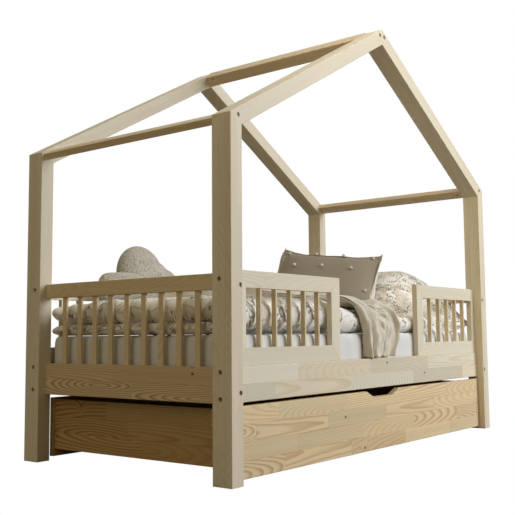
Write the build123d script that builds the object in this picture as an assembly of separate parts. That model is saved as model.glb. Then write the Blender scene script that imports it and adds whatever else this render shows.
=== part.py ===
"""Toddler house bed with a full-length drawer, built the way the real bed is built.

Millimetres, +Z up.  The long side runs along X and the child climbs in from -Y.
The origin is on the floor, under the middle of the bed's footprint.
Every timber board, fastener, wheel and soft good is a solid of its own.
"""
import os
from math import cos, radians, sin, tan

from build123d import *

# ---------------------------------------------------------------- driving dimensions
BED_LENGTH = 1720.0          # outside of the posts, along X
BED_WIDTH = 900.0            # outside of the posts, along Y
POST_X, POST_Y = 50.0, 70.0  # post section
EAVE_HEIGHT = 1027.0         # outer corner where post and rafter meet
ROOF_PITCH = 29.35           # degrees
ROOF_MEMBER = 50.0           # rafter width, measured square to its length
RIDGE_SIDE = 44.0            # square ridge beam, turned 45 degrees
EAVE_BOARD = (48.0, 22.0)    # eave board: width along the slope, thickness
EAVE_BOARD_START = 4.0       # from the eave corner, up the slope
EAVE_BOARD_DEPTH = 8.5       # below the rafter's outer face

RAIL_SETBACK, RAIL_THICK = 31.0, 20.0        # side rail, from the post's outer face
RAIL_Z = (220.0, 321.5)
END_THICK = 22.0                             # end boards, flush with the posts' inner faces
END_BOARD_Z = (218.0, 320.0)
END_TOP_Z = (535.0, 582.0)

GUARD_SETBACK, GUARD_THICK = 36.0, 20.0
GUARD_BAR = 50.0                             # width of the guards' rails and free stiles
GUARD_TOP = 592.0
BACK_GUARD_TOP = 582.0
GUARD_LENGTH = 550.0                         # left guard, from the post's inner face
RIGHT_GUARD_LENGTH = 524.0
LEFT_POST_STILE, RIGHT_POST_STILE = 58.0, 28.0
GUARD_SLAT = (8.0, 16.0)                     # X width, Y depth
FRONT_SLAT_COUNT = 5
BACK_SLAT_COUNT, BACK_SLAT_PITCH = 21, 75.2
END_SLAT = (8.0, 20.0)                       # X thickness, Y width
END_SLAT_COUNT, END_SLAT_PITCH = 9, 73.4

CLEAT = (22.0, 30.0)                         # Y width, Z height
BASE_TOP = 288.0                             # top of the slatted base
BASE_SLAT = (70.0, 18.0)
BASE_SLAT_COUNT, BASE_SLAT_PITCH = 13, 123.0

DRAWER_GAP = 5.0                             # beside the drawer front, to each post
DRAWER_FRONT_SETBACK, DRAWER_BOARD = 28.0, 20.0
DRAWER_FRONT_Z = (9.5, 210.5)
DRAWER_SIDE_THICK, DRAWER_SIDE_Z = 16.0, (36.0, 200.0)
DRAWER_SIDE_INSET = 22.0                     # side's outer face, from the post's inner face
DRAWER_BACK_INSET, DRAWER_BACK_Z = 16.0, (12.0, 205.0)
DRAWER_REAR = 382.0                          # Y of the back board's inner face
BEARER = (40.0, 18.0)
BEARER_Z = 40.0
BOTTOM_THICK = 6.0
NOTCH_TOP, NOTCH_FLAT, NOTCH_DEPTH = 224.0, 132.0, 21.0
CORNER_BLOCK = 24.0

WHEEL_R, WHEEL_W = 17.0, 14.0
WHEEL_X, WHEEL_Y = 600.0, 330.0              # wheel centres, either side of the middle
AXLE_R, AXLE_LENGTH = 3.0, 27.0

BOLT_R, BOLT_CLEAR_R = 3.0, 3.5
HEAD_R, HEAD_H, SINK_R, SINK_DEPTH = 6.5, 5.0, 7.0, 9.0
NUT_R, NUT_LENGTH = 5.0, 14.0

MATTRESS = (1600.0, 786.0, 120.0)
EASE = 2.5                                   # rounding of the large timbers' long edges
SMALL_EASE = 1.2

# ---------------------------------------------------------------- worked-out places
HALF_L, HALF_W = BED_LENGTH / 2, BED_WIDTH / 2
INNER_X = HALF_L - POST_X                    # posts' inner faces
INNER_Y = HALF_W - POST_Y
PITCH = radians(ROOF_PITCH)
PEAK_OUTER = EAVE_HEIGHT + HALF_L * tan(PITCH)
PEAK_INNER = PEAK_OUTER - ROOF_MEMBER / cos(PITCH)
EAVE_INNER = PEAK_INNER - INNER_X * tan(PITCH)
RIDGE_Z = PEAK_INNER + RIDGE_SIDE * sin(radians(45))
RAIL_Y = HALF_W - RAIL_SETBACK - RAIL_THICK / 2
GUARD_Y = HALF_W - GUARD_SETBACK - GUARD_THICK / 2
END_X = INNER_X + END_THICK / 2
END_BOLT_Z = (546.0, 250.5)
SIDE_BOLT_Z = (307.0, 234.0)
GUARD_BOLT_Z = 563.0
GUARD_BOLT_Y = HALF_W - 44.0
PEAK_BOLT_X = 15.0


# ---------------------------------------------------------------- small makers
def board(x, y, z, ease=EASE):
    """A timber between the limits given as (low, high) pairs, its long edges eased."""
    size = [x[1] - x[0], y[1] - y[0], z[1] - z[0]]
    solid = Pos((x[0] + x[1]) / 2, (y[0] + y[1]) / 2, (z[0] + z[1]) / 2) * Box(*size)
    along = [Axis.X, Axis.Y, Axis.Z][size.index(max(size))]
    return fillet(solid.edges().filter_by(along), ease) if ease else solid


def mitred(outline, y, along, ease=EASE):
    """A timber with mitred ends: an XZ outline run through Y, eased along its length."""
    face = make_face(Polyline(*[(px, y[0], pz) for px, pz in outline], close=True))
    solid = extrude(face, amount=y[1] - y[0], dir=(0, 1, 0))
    way = Vector(along[0], 0, along[1]).normalized()
    long_edges = [e for e in solid.edges() if abs((e % 0.5).dot(way)) > 0.999]
    return fillet(long_edges, ease)


def rod(start, way, radius, length):
    """A cylinder from start, running along way."""
    return Plane(origin=start, z_dir=way) * Cylinder(
        radius, length, align=(Align.CENTER, Align.CENTER, Align.MIN))


def mirror_x(solid):
    """The same piece at the other end of the bed."""
    return mirror(solid, about=Plane.YZ)


def mirror_y(solid):
    """The same piece on the other long side of the bed."""
    return mirror(solid, about=Plane.XZ)


def all_corners(solid):
    """One piece repeated at the four corners of the bed."""
    pair = [solid, mirror_x(solid)]
    return pair + [mirror_y(s) for s in pair]


def save(name, solids):
    """Write one node, which may hold several like solids, to its STEP file."""
    solids = solids if isinstance(solids, (list, tuple)) else [solids]
    flat = [s for shape in solids for s in shape.solids()]
    node = flat[0] if len(flat) == 1 else Compound(children=flat)
    node.label = name
    export_step(node, os.path.join("parts", name + ".step"))


# ---------------------------------------------------------------- bolts and barrel nuts
def bolt_joint(entry, way, joint, nut_at, nut_way, nut_mouth):
    """One socket bolt with its barrel nut.

    entry is on the outer face, joint the grip length to the joined timber, nut_at the
    distance from entry to the nut, nut_way the barrel's axis pointing out of its bore and
    nut_mouth the distance from the nut's middle to the face it was put in through.
    Gives the bolt, the nut and the shape to cut from the timbers.
    """
    entry, way, nut_way = Vector(*entry), Vector(*way), Vector(*nut_way)
    seat = entry + way * (SINK_DEPTH - HEAD_H - 0.05)
    centre = entry + way * nut_at
    tip = nut_at + 8 - (SINK_DEPTH - HEAD_H)
    bolt = rod(seat, way, HEAD_R, HEAD_H) + rod(seat, way, BOLT_R, tip)
    socket = Plane(origin=seat, z_dir=way) * extrude(RegularPolygon(2.9, 6), 3)
    bolt = fillet(bolt.edges().filter_by(GeomType.CIRCLE).sort_by(
        lambda e: (e.center() - seat).length)[0], 0.8) - socket
    nut = rod(centre - nut_way * (NUT_LENGTH / 2), nut_way, NUT_R, NUT_LENGTH)
    nut -= rod(centre - way * 8, way, BOLT_R + 0.02, 16)
    bore = rod(centre - nut_way * (NUT_LENGTH / 2 + 0.3), nut_way, NUT_R + 0.05,
               NUT_LENGTH / 2 + 0.3 + nut_mouth)
    cut = rod(entry - way * 5, way, SINK_R, 5 + SINK_DEPTH) + bore
    cut += rod(entry, way, BOLT_CLEAR_R, nut_at + 12)
    return bolt, nut, cut


def eave_frame(along, depth):
    """XZ place in the left roof slope, from the eave corner up the slope and inwards."""
    return (-HALF_L + along * cos(PITCH) + depth * sin(PITCH),
            EAVE_HEIGHT + along * sin(PITCH) - depth * cos(PITCH))


def corner_bolts():
    """The bolts of the front left corner, as name: (bolt, nut, cut)."""
    x, y = -HALF_L, -HALF_W
    reach = POST_X + 35
    joints = {}
    for i, z in enumerate(SIDE_BOLT_Z):
        joints[f"rail{i}"] = bolt_joint((x, -RAIL_Y, z), (1, 0, 0), POST_X, reach,
                                        (0, 1, 0), RAIL_THICK / 2 + 2)
    joints["guard"] = bolt_joint((x, -GUARD_BOLT_Y, GUARD_BOLT_Z), (1, 0, 0), POST_X,
                                 POST_X + 66, (0, 1, 0), GUARD_THICK / 2 + 4)
    for i, z in enumerate(END_BOLT_Z):
        joints[f"end{i}"] = bolt_joint((-END_X, y, z), (0, 1, 0), POST_Y, POST_Y + 35,
                                       (1, 0, 0), END_THICK / 2 + 2)
    ex, ez = eave_frame(EAVE_BOARD_START + EAVE_BOARD[0] / 2,
                        EAVE_BOARD_DEPTH + EAVE_BOARD[1] / 2)
    joints["eave"] = bolt_joint((ex, y, ez), (0, 1, 0), POST_Y, POST_Y + 30,
                                (sin(PITCH), 0, -cos(PITCH)), EAVE_BOARD[1] / 2 + 2)
    joints["peak"] = bolt_joint((-PEAK_BOLT_X, y, RIDGE_Z), (0, 1, 0), POST_Y, POST_Y + 30,
                                (-cos(radians(45)), 0, -sin(radians(45))), RIDGE_SIDE / 2)
    return joints


# ---------------------------------------------------------------- house frame
def house_frame(cuts):
    """Posts, rafters, ridge beam and eave boards."""
    front = (-HALF_W, -INNER_Y)
    post = mitred([(-HALF_L, 0), (-INNER_X, 0), (-INNER_X, EAVE_INNER), (-HALF_L, EAVE_HEIGHT)],
                  front, (0, 1))
    rafter = mitred([(-HALF_L, EAVE_HEIGHT), (0, PEAK_OUTER), (0, PEAK_INNER),
                     (-INNER_X, EAVE_INNER)], front, (cos(PITCH), sin(PITCH)))
    for name, cut in cuts.items():
        if name in ("eave", "peak"):
            rafter -= cut
        else:
            post -= cut
    # the eave bolt sits close to the mitre, so it touches the post as well
    post -= cuts["eave"]
    members = {"post": post, "rafter": rafter}
    for kind, solid in members.items():
        right = mirror_x(solid)
        save(f"{kind}_front_left", solid)
        save(f"{kind}_front_right", right)
        save(f"{kind}_back_left", mirror_y(solid))
        save(f"{kind}_back_right", mirror_y(right))

    length = 2 * INNER_Y
    ridge = Pos(0, 0, RIDGE_Z) * Rot(0, 45, 0) * Box(RIDGE_SIDE, length, RIDGE_SIDE)
    ridge = fillet(ridge.edges().filter_by(Axis.Y), EASE)
    for cut in all_corners(cuts["peak"]):
        ridge -= cut
    save("ridge_beam", ridge)

    cx, cz = eave_frame(EAVE_BOARD_START + EAVE_BOARD[0] / 2,
                        EAVE_BOARD_DEPTH + EAVE_BOARD[1] / 2)
    eave = Pos(cx, 0, cz) * Rot(0, -ROOF_PITCH, 0) * Box(EAVE_BOARD[0], length, EAVE_BOARD[1])
    eave = fillet(eave.edges().filter_by(Axis.Y), EASE)
    eave = eave - cuts["eave"] - mirror_y(cuts["eave"])
    save("eave_board_left", eave)
    save("eave_board_right", mirror_x(eave))


def ends_and_side_rails(cuts):
    """The boards that tie the posts together, and the slats of the two ends."""
    rail = board((-INNER_X, INNER_X), (-RAIL_Y - RAIL_THICK / 2, -RAIL_Y + RAIL_THICK / 2), RAIL_Z)
    for name in ("rail0", "rail1"):
        rail = rail - cuts[name] - mirror_x(cuts[name])
    save("side_rail_front", rail)
    save("side_rail_back", mirror_y(rail))

    x, y = (-END_X - END_THICK / 2, -INNER_X), (-INNER_Y, INNER_Y)
    lower = board(x, y, END_BOARD_Z) - cuts["end1"] - mirror_y(cuts["end1"])
    upper = board(x, y, END_TOP_Z) - cuts["end0"] - mirror_y(cuts["end0"])
    slats = []
    for i in range(END_SLAT_COUNT):
        mid = (i - (END_SLAT_COUNT - 1) / 2) * END_SLAT_PITCH
        slats.append(board((-END_X - END_SLAT[0] / 2, -END_X + END_SLAT[0] / 2),
                           (mid - END_SLAT[1] / 2, mid + END_SLAT[1] / 2),
                           (END_BOARD_Z[1], END_TOP_Z[0]), SMALL_EASE))
    for side, place in (("left", lambda s: s), ("right", mirror_x)):
        save(f"end_board_{side}", place(lower))
        save(f"end_top_rail_{side}", place(upper))
        save(f"end_slats_{side}", [place(s) for s in slats])


# ---------------------------------------------------------------- guards
def guard_frame(name, low_x, high_x, stiles, cut):
    """A mitred guard frame that stands on the front side rail."""
    y = (-GUARD_Y - GUARD_THICK / 2, -GUARD_Y + GUARD_THICK / 2)
    base, top = RAIL_Z[1], GUARD_TOP
    in_low, in_high = low_x + stiles[0], high_x - stiles[1]
    sill, head = base + GUARD_BAR, top - GUARD_BAR
    parts = {
        "top_rail": [mitred([(low_x, top), (high_x, top), (in_high, head), (in_low, head)],
                            y, (1, 0), SMALL_EASE)],
        "bottom_rail": [mitred([(low_x, base), (high_x, base), (in_high, sill), (in_low, sill)],
                               y, (1, 0), SMALL_EASE)],
        "stiles": [mitred([(low_x, base), (in_low, sill), (in_low, head), (low_x, top)],
                          y, (0, 1), SMALL_EASE),
                   mitred([(high_x, base), (in_high, sill), (in_high, head), (high_x, top)],
                          y, (0, 1), SMALL_EASE)],
    }
    for part, solids in parts.items():
        if part != "bottom_rail":
            solids = [s - cut for s in solids]
        save(f"{name}_{part}", solids)
    gap = (in_high - in_low - FRONT_SLAT_COUNT * GUARD_SLAT[0]) / (FRONT_SLAT_COUNT + 1)
    slats = []
    for i in range(FRONT_SLAT_COUNT):
        start = in_low + gap + i * (gap + GUARD_SLAT[0])
        slats.append(board((start, start + GUARD_SLAT[0]),
                           (-GUARD_Y - GUARD_SLAT[1] / 2, -GUARD_Y + GUARD_SLAT[1] / 2),
                           (sill, head), SMALL_EASE))
    save(f"{name}_slats", slats)


def guards(cuts):
    """Two short guards at the front with the way in between them, one long one behind."""
    guard_frame("guard_left", -INNER_X, -INNER_X + GUARD_LENGTH,
                (LEFT_POST_STILE, GUARD_BAR), cuts["guard"])
    guard_frame("guard_right", INNER_X - RIGHT_GUARD_LENGTH, INNER_X,
                (GUARD_BAR, RIGHT_POST_STILE), mirror_x(cuts["guard"]))

    y = (GUARD_Y - GUARD_THICK / 2, GUARD_Y + GUARD_THICK / 2)
    sill, head = RAIL_Z[1] + GUARD_BAR, BACK_GUARD_TOP - GUARD_BAR
    top = board((-INNER_X, INNER_X), y, (head, BACK_GUARD_TOP), SMALL_EASE)
    top = top - mirror_y(cuts["guard"]) - mirror_x(mirror_y(cuts["guard"]))
    save("back_guard_top_rail", top)
    save("back_guard_bottom_rail",
         board((-INNER_X, INNER_X), y, (RAIL_Z[1], sill), SMALL_EASE))
    slats = []
    for i in range(BACK_SLAT_COUNT):
        mid = (i - (BACK_SLAT_COUNT - 1) / 2) * BACK_SLAT_PITCH
        slats.append(board((mid - GUARD_SLAT[0] / 2, mid + GUARD_SLAT[0] / 2),
                           (GUARD_Y - GUARD_SLAT[1] / 2, GUARD_Y + GUARD_SLAT[1] / 2),
                           (sill, head), SMALL_EASE))
    save("back_guard_slats", slats)


# ---------------------------------------------------------------- mattress base
def mattress_base():
    """Cleats on the side rails, the slats that lie on them and the slats' screws."""
    rail_face = RAIL_Y - RAIL_THICK / 2
    cleat_top = BASE_TOP - BASE_SLAT[1]
    cleat = board((-INNER_X + 12, INNER_X - 12), (-rail_face, -rail_face + CLEAT[0]),
                  (cleat_top - CLEAT[1], cleat_top), SMALL_EASE)
    # the cleat is notched over the rail's barrel nuts
    relief = board((-INNER_X, -INNER_X + 50), (-rail_face - 1, -rail_face + 4), (0, 400), 0)
    cleat = cleat - relief - mirror_x(relief)
    slats, screws = [], []
    half = rail_face - 2
    for i in range(BASE_SLAT_COUNT):
        mid = (i - (BASE_SLAT_COUNT - 1) / 2) * BASE_SLAT_PITCH
        slat = board((mid - BASE_SLAT[0] / 2, mid + BASE_SLAT[0] / 2), (-half, half),
                     (cleat_top, BASE_TOP), SMALL_EASE)
        for side in (-1, 1):
            top = (mid, side * (rail_face - CLEAT[0] / 2), BASE_TOP)
            screw, hole = wood_screw(top, (0, 0, -1), 34)
            slat -= hole
            cleat -= hole if side < 0 else mirror_y(hole)
            screws.append(screw)
        slats.append(slat)
    save("mattress_cleat_front", cleat)
    save("mattress_cleat_back", mirror_y(cleat))
    save("base_slats", slats)
    save("base_slat_screws", screws)


def wood_screw(entry, way, length):
    """A countersunk wood screw just below the face at entry, and the hole it fills."""
    entry, way = Vector(*entry), Vector(*way)
    head = Plane(origin=entry + way * 0.4, z_dir=way) * Cone(
        4, 2, 2.4, align=(Align.CENTER, Align.CENTER, Align.MIN))
    screw = head + rod(entry + way * 2.8, way, 2, length - 2.8)
    hole = Plane(origin=entry + way * 0.4, z_dir=way) * Cone(
        4.05, 2.05, 2.4, align=(Align.CENTER, Align.CENTER, Align.MIN))
    hole += rod(entry - way * 0.5, way, 4.05, 0.9) + rod(entry + way * 2.8, way, 2.05, length - 2.3)
    screw -= Plane(origin=entry + way * 0.4, z_dir=way) * extrude(RegularPolygon(1.6, 6), 1.5)
    return screw, hole


# ---------------------------------------------------------------- drawer
def drawer():
    """The drawer box, its wheels, their axles and brackets."""
    front_out = -HALF_W + DRAWER_FRONT_SETBACK
    front_in = front_out + DRAWER_BOARD
    half_front = INNER_X - DRAWER_GAP
    side_out = INNER_X - DRAWER_SIDE_INSET
    side_in = side_out - DRAWER_SIDE_THICK
    half_back = INNER_X - DRAWER_BACK_INSET
    floor_z = BEARER_Z + BEARER[1]

    front = board((-half_front, half_front), (front_out, front_in), DRAWER_FRONT_Z)
    notch_z = DRAWER_FRONT_Z[1] - NOTCH_DEPTH
    face = make_face(Polyline((-NOTCH_TOP / 2 - 6, front_out - 5, DRAWER_FRONT_Z[1] + 3),
                              (-NOTCH_FLAT / 2, front_out - 5, notch_z),
                              (NOTCH_FLAT / 2, front_out - 5, notch_z),
                              (NOTCH_TOP / 2 + 6, front_out - 5, DRAWER_FRONT_Z[1] + 3),
                              close=True))
    notch = extrude(face, amount=DRAWER_BOARD + 10, dir=(0, 1, 0))
    low_edges = notch.edges().filter_by(Axis.Y).sort_by(Axis.Z)[:2]
    front -= fillet(low_edges, 12)
    save("drawer_front", front)

    save("drawer_back", board((-half_back, half_back), (DRAWER_REAR, DRAWER_REAR + 18),
                              DRAWER_BACK_Z, SMALL_EASE))

    side = board((-side_out, -side_in), (front_in, DRAWER_REAR), DRAWER_SIDE_Z, SMALL_EASE)
    block = board((-side_in, -side_in + CORNER_BLOCK), (front_in, front_in + CORNER_BLOCK),
                  (floor_z + BOTTOM_THICK, DRAWER_SIDE_Z[1] - 12), SMALL_EASE)
    blocks = [block, mirror_x(block)]
    rear_block = Pos(0, DRAWER_REAR - front_in - CORNER_BLOCK, 0) * block
    blocks += [rear_block, mirror_x(rear_block)]
    screws = []
    for y in (front_in + CORNER_BLOCK / 2, DRAWER_REAR - CORNER_BLOCK / 2):
        for z in (179, 76):
            screw, hole = wood_screw((-side_out, y, z), (1, 0, 0), 34)
            side -= hole
            blocks = [b - hole - mirror_x(hole) for b in blocks]
            screws += [screw, mirror_x(screw)]
    save("drawer_side_left", side)
    save("drawer_side_right", mirror_x(side))
    save("drawer_corner_blocks", blocks)
    save("drawer_screws", screws)

    save("drawer_bottom", board((-side_in, side_in), (front_in, DRAWER_REAR),
                                (floor_z, floor_z + BOTTOM_THICK), 0))
    bearers = [board((x - BEARER[0] / 2, x + BEARER[0] / 2), (front_in, DRAWER_REAR),
                     (BEARER_Z, floor_z), SMALL_EASE) for x in (-WHEEL_X, -200, 200, WHEEL_X)]
    save("drawer_bearers", bearers)

    wheel = fillet(Cylinder(WHEEL_R, WHEEL_W).edges().filter_by(GeomType.CIRCLE), 2)
    wheel -= Cylinder(AXLE_R + 0.08, WHEEL_W + 2)
    recess = Cylinder(WHEEL_R - 5, 3) - Cylinder(AXLE_R + 3, 3)
    wheel -= Pos(0, 0, WHEEL_W / 2) * recess
    wheel -= Pos(0, 0, -WHEEL_W / 2) * recess
    axle = Cylinder(AXLE_R, AXLE_LENGTH)
    cheek_gap, cheek = WHEEL_W + 3, 4.0
    bracket = Pos(0, 0, BEARER_Z - 2 - WHEEL_R) * Box(cheek_gap + 2 * cheek, 34, 4)
    for side_sign in (-1, 1):
        arm = Pos(side_sign * (cheek_gap + cheek) / 2, 0, (BEARER_Z - 4 - WHEEL_R - 7) / 2) * Box(
            cheek, 22, BEARER_Z - 4 - WHEEL_R + 7)
        bracket += arm
    bracket -= Rot(0, 90, 0) * Cylinder(AXLE_R + 0.02, 60)
    brackets, axles = [], []
    for row, y in (("front", -WHEEL_Y), ("back", WHEEL_Y)):
        for side_name, x in (("left", -WHEEL_X), ("right", WHEEL_X)):
            place = Pos(x, y, WHEEL_R)
            save(f"drawer_wheel_{row}_{side_name}", place * Rot(0, 90, 0) * wheel)
            axles.append(place * Rot(0, 90, 0) * axle)
            brackets.append(place * bracket)
    save("drawer_wheel_axles", axles)
    save("drawer_wheel_brackets", brackets)


# ---------------------------------------------------------------- soft goods
def duvet_top(x):
    """Height of the folded duvet's top along the bed: full at the foot, flatter further up."""
    places = ((-HALF_L, 520.0), (-300.0, 520.0), (-190.0, 494.0), (-60.0, 482.0), (60.0, 470.0),
              (HALF_L, 470.0))
    for (x0, z0), (x1, z1) in zip(places, places[1:]):
        if x <= x1:
            return z0 + (z1 - z0) * (x - x0) / (x1 - x0)
    return places[-1][1]


def soft_goods():
    """Plain closed shapes of the mattress and the bedding, each clear of its neighbours."""
    length, width, thick = MATTRESS
    mattress = Pos(0, 0, BASE_TOP + 0.4 + thick / 2) * Box(length, width, thick)
    mattress = fillet(mattress.edges().filter_by(Axis.Z), 45)
    save("mattress", fillet(mattress.edges().group_by(Axis.Z)[-1], 14))
    bed_top = BASE_TOP + 0.4 + thick

    low_x, high_x, half = -HALF_L + 60, 425.0, width / 2 - 5
    steps = (low_x, -300.0, -190.0, -60.0, 60.0, high_x)
    outline = [(low_x, bed_top + 0.5)] + [(x, duvet_top(x)) for x in steps]
    outline.append((high_x, bed_top + 0.5))
    face = make_face(Polyline(*[(px, -half, pz) for px, pz in outline], close=True))
    duvet = extrude(face, amount=2 * half, dir=(0, 1, 0))
    save("duvet", fillet(duvet.edges().filter_by(Axis.Z), 35))

    pillow = Pos(618, -83, 553.5) * Rot(0, -30, 0) * Box(400, 610, 150)
    save("sleeping_pillow", fillet(pillow.edges().filter_by(
        lambda e: abs((e % 0.5).Y) > 0.99), 60))

    cushion = fillet(Box(80, 430, 390).edges().filter_by(Axis.Y), 32)
    cushion = Rot(0, 0, 26) * Rot(0, 51.7, 0) * Rot(8, 0, 0) * cushion
    save("square_cushion", Pos(344, 61, 645) * cushion)

    cloud = Pos(-2, 35, 0) * Box(250, 70, 90)
    for x, z, r in ((-126, 62, 64), (5, 98, 106), (122, 70, 71)):
        cloud += Pos(x, z, 0) * Cylinder(r, 90)
    save("cloud_cushion", Pos(-445, 322, 535) * Rot(82, 0, 0) * cloud)

    # the throw lies over the duvet and hangs in the gap between the guards
    front_y, depth = -width / 2 - 5, 6.0
    steps = (-110.0, -60.0, 60.0, 170.0)
    crest = [(x, duvet_top(x) + 1 + depth) for x in steps]
    under = [(x, duvet_top(x) + 1) for x in reversed(steps)]
    hem = RAIL_Z[1] + 3
    hang = crest + [(steps[-1] - 60, hem), (steps[0], hem)]
    throw = Part()
    for outline, y in ((hang, (front_y - depth, front_y)), (crest + under, (front_y, -60))):
        sheet = make_face(Polyline(*[(px, y[0], pz) for px, pz in outline], close=True))
        throw += extrude(sheet, amount=y[1] - y[0], dir=(0, 1, 0))
    save("throw_blanket", throw)


def fasteners(joints):
    """All bolts and barrel nuts, grouped by where they are."""
    groups = {"rail_bolts": ("rail0", "rail1", "guard"), "end_bolts": ("end0", "end1"),
              "roof_bolts": ("eave", "peak")}
    nuts = []
    for node, names in groups.items():
        save(node, [s for n in names for s in all_corners(joints[n][0])])
        nuts += [s for n in names for s in all_corners(joints[n][1])]
    save("barrel_nuts", nuts)


def main():
    """Write every node's STEP file."""
    os.makedirs("parts", exist_ok=True)
    joints = corner_bolts()
    cuts = {name: parts[2] for name, parts in joints.items()}
    house_frame(cuts)
    ends_and_side_rails(cuts)
    guards(cuts)
    mattress_base()
    drawer()
    soft_goods()
    fasteners(joints)


if __name__ == "__main__":
    main()
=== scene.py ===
"""Looks of a toddler house bed: bare pine, furniture bolts and soft bedding.

Metres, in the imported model's own frame: +X runs along the bed to the pillow end, -Y points to
the side the child climbs in, and +Z is up.
"""
from __future__ import annotations

import logging
from dataclasses import dataclass, field
from enum import Enum

import bmesh
import bpy
import numpy as np
from mathutils import Euler, Matrix, Vector


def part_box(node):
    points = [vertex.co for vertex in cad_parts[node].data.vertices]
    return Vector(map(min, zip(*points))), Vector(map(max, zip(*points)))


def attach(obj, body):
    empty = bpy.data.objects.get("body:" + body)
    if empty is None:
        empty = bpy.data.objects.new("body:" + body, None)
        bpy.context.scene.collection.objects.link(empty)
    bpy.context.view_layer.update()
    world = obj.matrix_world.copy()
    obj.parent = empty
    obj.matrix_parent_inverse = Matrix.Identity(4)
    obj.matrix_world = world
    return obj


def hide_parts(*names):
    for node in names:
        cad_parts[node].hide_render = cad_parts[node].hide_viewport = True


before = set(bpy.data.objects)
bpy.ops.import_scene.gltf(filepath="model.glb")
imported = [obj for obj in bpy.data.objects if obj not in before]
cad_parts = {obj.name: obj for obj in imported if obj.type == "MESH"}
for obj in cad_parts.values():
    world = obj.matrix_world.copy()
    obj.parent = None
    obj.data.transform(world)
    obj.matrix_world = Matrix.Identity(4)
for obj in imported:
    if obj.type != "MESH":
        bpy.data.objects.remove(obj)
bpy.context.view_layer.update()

logging.basicConfig(level=logging.INFO, format="%(message)s")
LOG = logging.getLogger("bed")

Array = np.ndarray
Color = tuple[float, float, float, float]
MM = 0.001
PENS_PER_SPRIG = 34  # a printed sprig's size over the width of its drawn line
SEWN_APART = 2.4 * MM  # the least distance between a cushion's two faces
FIGURED = 0.35  # boards with more figure than this show knots
PIPE_SIDES = 10
FACE_RINGS, SIDE_RINGS = 9, 22  # rings across the mattress's top and round its side
BACK_CLOTH_DUVET, BACK_CLOTH_CUSHION = 0.37, 0.5  # moves the weave between front and back


def rgb(red: float, green: float, blue: float) -> Color:
    """A linear colour with full alpha."""
    return (red, green, blue, 1.0)


# ------------------------------------------------------------------ shader graphs
class Graph:
    """A shader node tree with short calls that add nodes and wire them."""

    def __init__(self, tree: bpy.types.NodeTree) -> None:
        """Work on the given tree."""
        self.tree = tree

    def feed(self, socket: bpy.types.NodeSocket, value: object) -> None:
        """Wire a socket to value, or set it where value is plain."""
        if isinstance(value, bpy.types.NodeSocket):
            self.tree.links.new(value, socket)
        else:
            socket.default_value = value

    def add(self, kind: str, inputs: dict | None = None, **settings: object) -> bpy.types.Node:
        """Add one node.

        Args:
            kind: Blender's node type.
            inputs: socket name or number to a plain value or an output socket.
            settings: the node's own properties.

        Returns:
            The new node.
        """
        node = self.tree.nodes.new(kind)
        for key, value in settings.items():
            setattr(node, key, value)
        for key, value in (inputs or {}).items():
            self.feed(node.inputs[key], value)
        return node

    def math(self, operation: str, *values: object, clamp: bool = False) -> bpy.types.NodeSocket:
        """One Math node's output."""
        node = self.add("ShaderNodeMath", dict(enumerate(values)), operation=operation)
        node.use_clamp = clamp
        return node.outputs[0]

    def vector(self, operation: str, *values: object) -> bpy.types.NodeSocket:
        """One Vector Math node's vector output."""
        return self.add("ShaderNodeVectorMath", dict(enumerate(values)),
                        operation=operation).outputs[0]

    def length(self, value: object) -> bpy.types.NodeSocket:
        """The length of a vector."""
        return self.add("ShaderNodeVectorMath", {0: value}, operation="LENGTH").outputs["Value"]

    def join(self, x: object, y: object, z: object = 0.0) -> bpy.types.NodeSocket:
        """A vector from three numbers."""
        return self.add("ShaderNodeCombineXYZ", {0: x, 1: y, 2: z}).outputs[0]

    def split(self, value: object) -> list[bpy.types.NodeSocket]:
        """The three numbers of a vector."""
        return list(self.add("ShaderNodeSeparateXYZ", {0: value}).outputs)

    def mix(self, factor: object, a: object, b: object, blend: str = "MIX") -> bpy.types.NodeSocket:
        """A blend of two colours."""
        node = self.add("ShaderNodeMix", {0: factor, 6: a, 7: b}, data_type="RGBA",
                        blend_type=blend)
        return node.outputs[2]

    def smooth(self, value: object, low: float, high: float) -> bpy.types.NodeSocket:
        """A smooth step of value from 0 at low to 1 at high."""
        node = self.add("ShaderNodeMapRange", {"Value": value, "From Min": low,
                                               "From Max": high},
                        interpolation_type="SMOOTHSTEP")
        return node.outputs[0]

    def noise(self, vector: object, scale: float, detail: float = 2.0) -> bpy.types.NodeSocket:
        """Smooth noise from 0 to 1."""
        return self.add("ShaderNodeTexNoise", {"Vector": vector, "Scale": scale,
                                               "Detail": detail}).outputs[0]

    def group(self, tree: bpy.types.NodeTree, **inputs: object) -> bpy.types.Node:
        """Place a node group; an input's spaces are written as underscores."""
        node = self.add("ShaderNodeGroup", node_tree=tree)
        for key, value in inputs.items():
            self.feed(node.inputs[key.replace("_", " ")], value)
        return node


def new_group(name: str, inputs: dict[str, object], outputs: dict[str, str]
              ) -> tuple[bpy.types.NodeTree, Graph, dict, bpy.types.Node]:
    """Start a node group.

    Args:
        name: the group's name.
        inputs: input name to default: a number, a colour, or None for a vector.
        outputs: output name to "Float", "Color" or "Vector".

    Returns:
        The tree, its graph, the input sockets by name and the output node.
    """
    tree = bpy.data.node_groups.new(name, "ShaderNodeTree")
    for key, value in inputs.items():
        kind = "Vector" if value is None else "Color" if isinstance(value, tuple) else "Float"
        socket = tree.interface.new_socket(key, in_out="INPUT", socket_type="NodeSocket" + kind)
        if value is not None:
            socket.default_value = value
    for key, kind in outputs.items():
        tree.interface.new_socket(key, in_out="OUTPUT", socket_type="NodeSocket" + kind)
    graph = Graph(tree)
    start = tree.nodes.new("NodeGroupInput")
    return tree, graph, {s.name: s for s in start.outputs}, tree.nodes.new("NodeGroupOutput")


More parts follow.
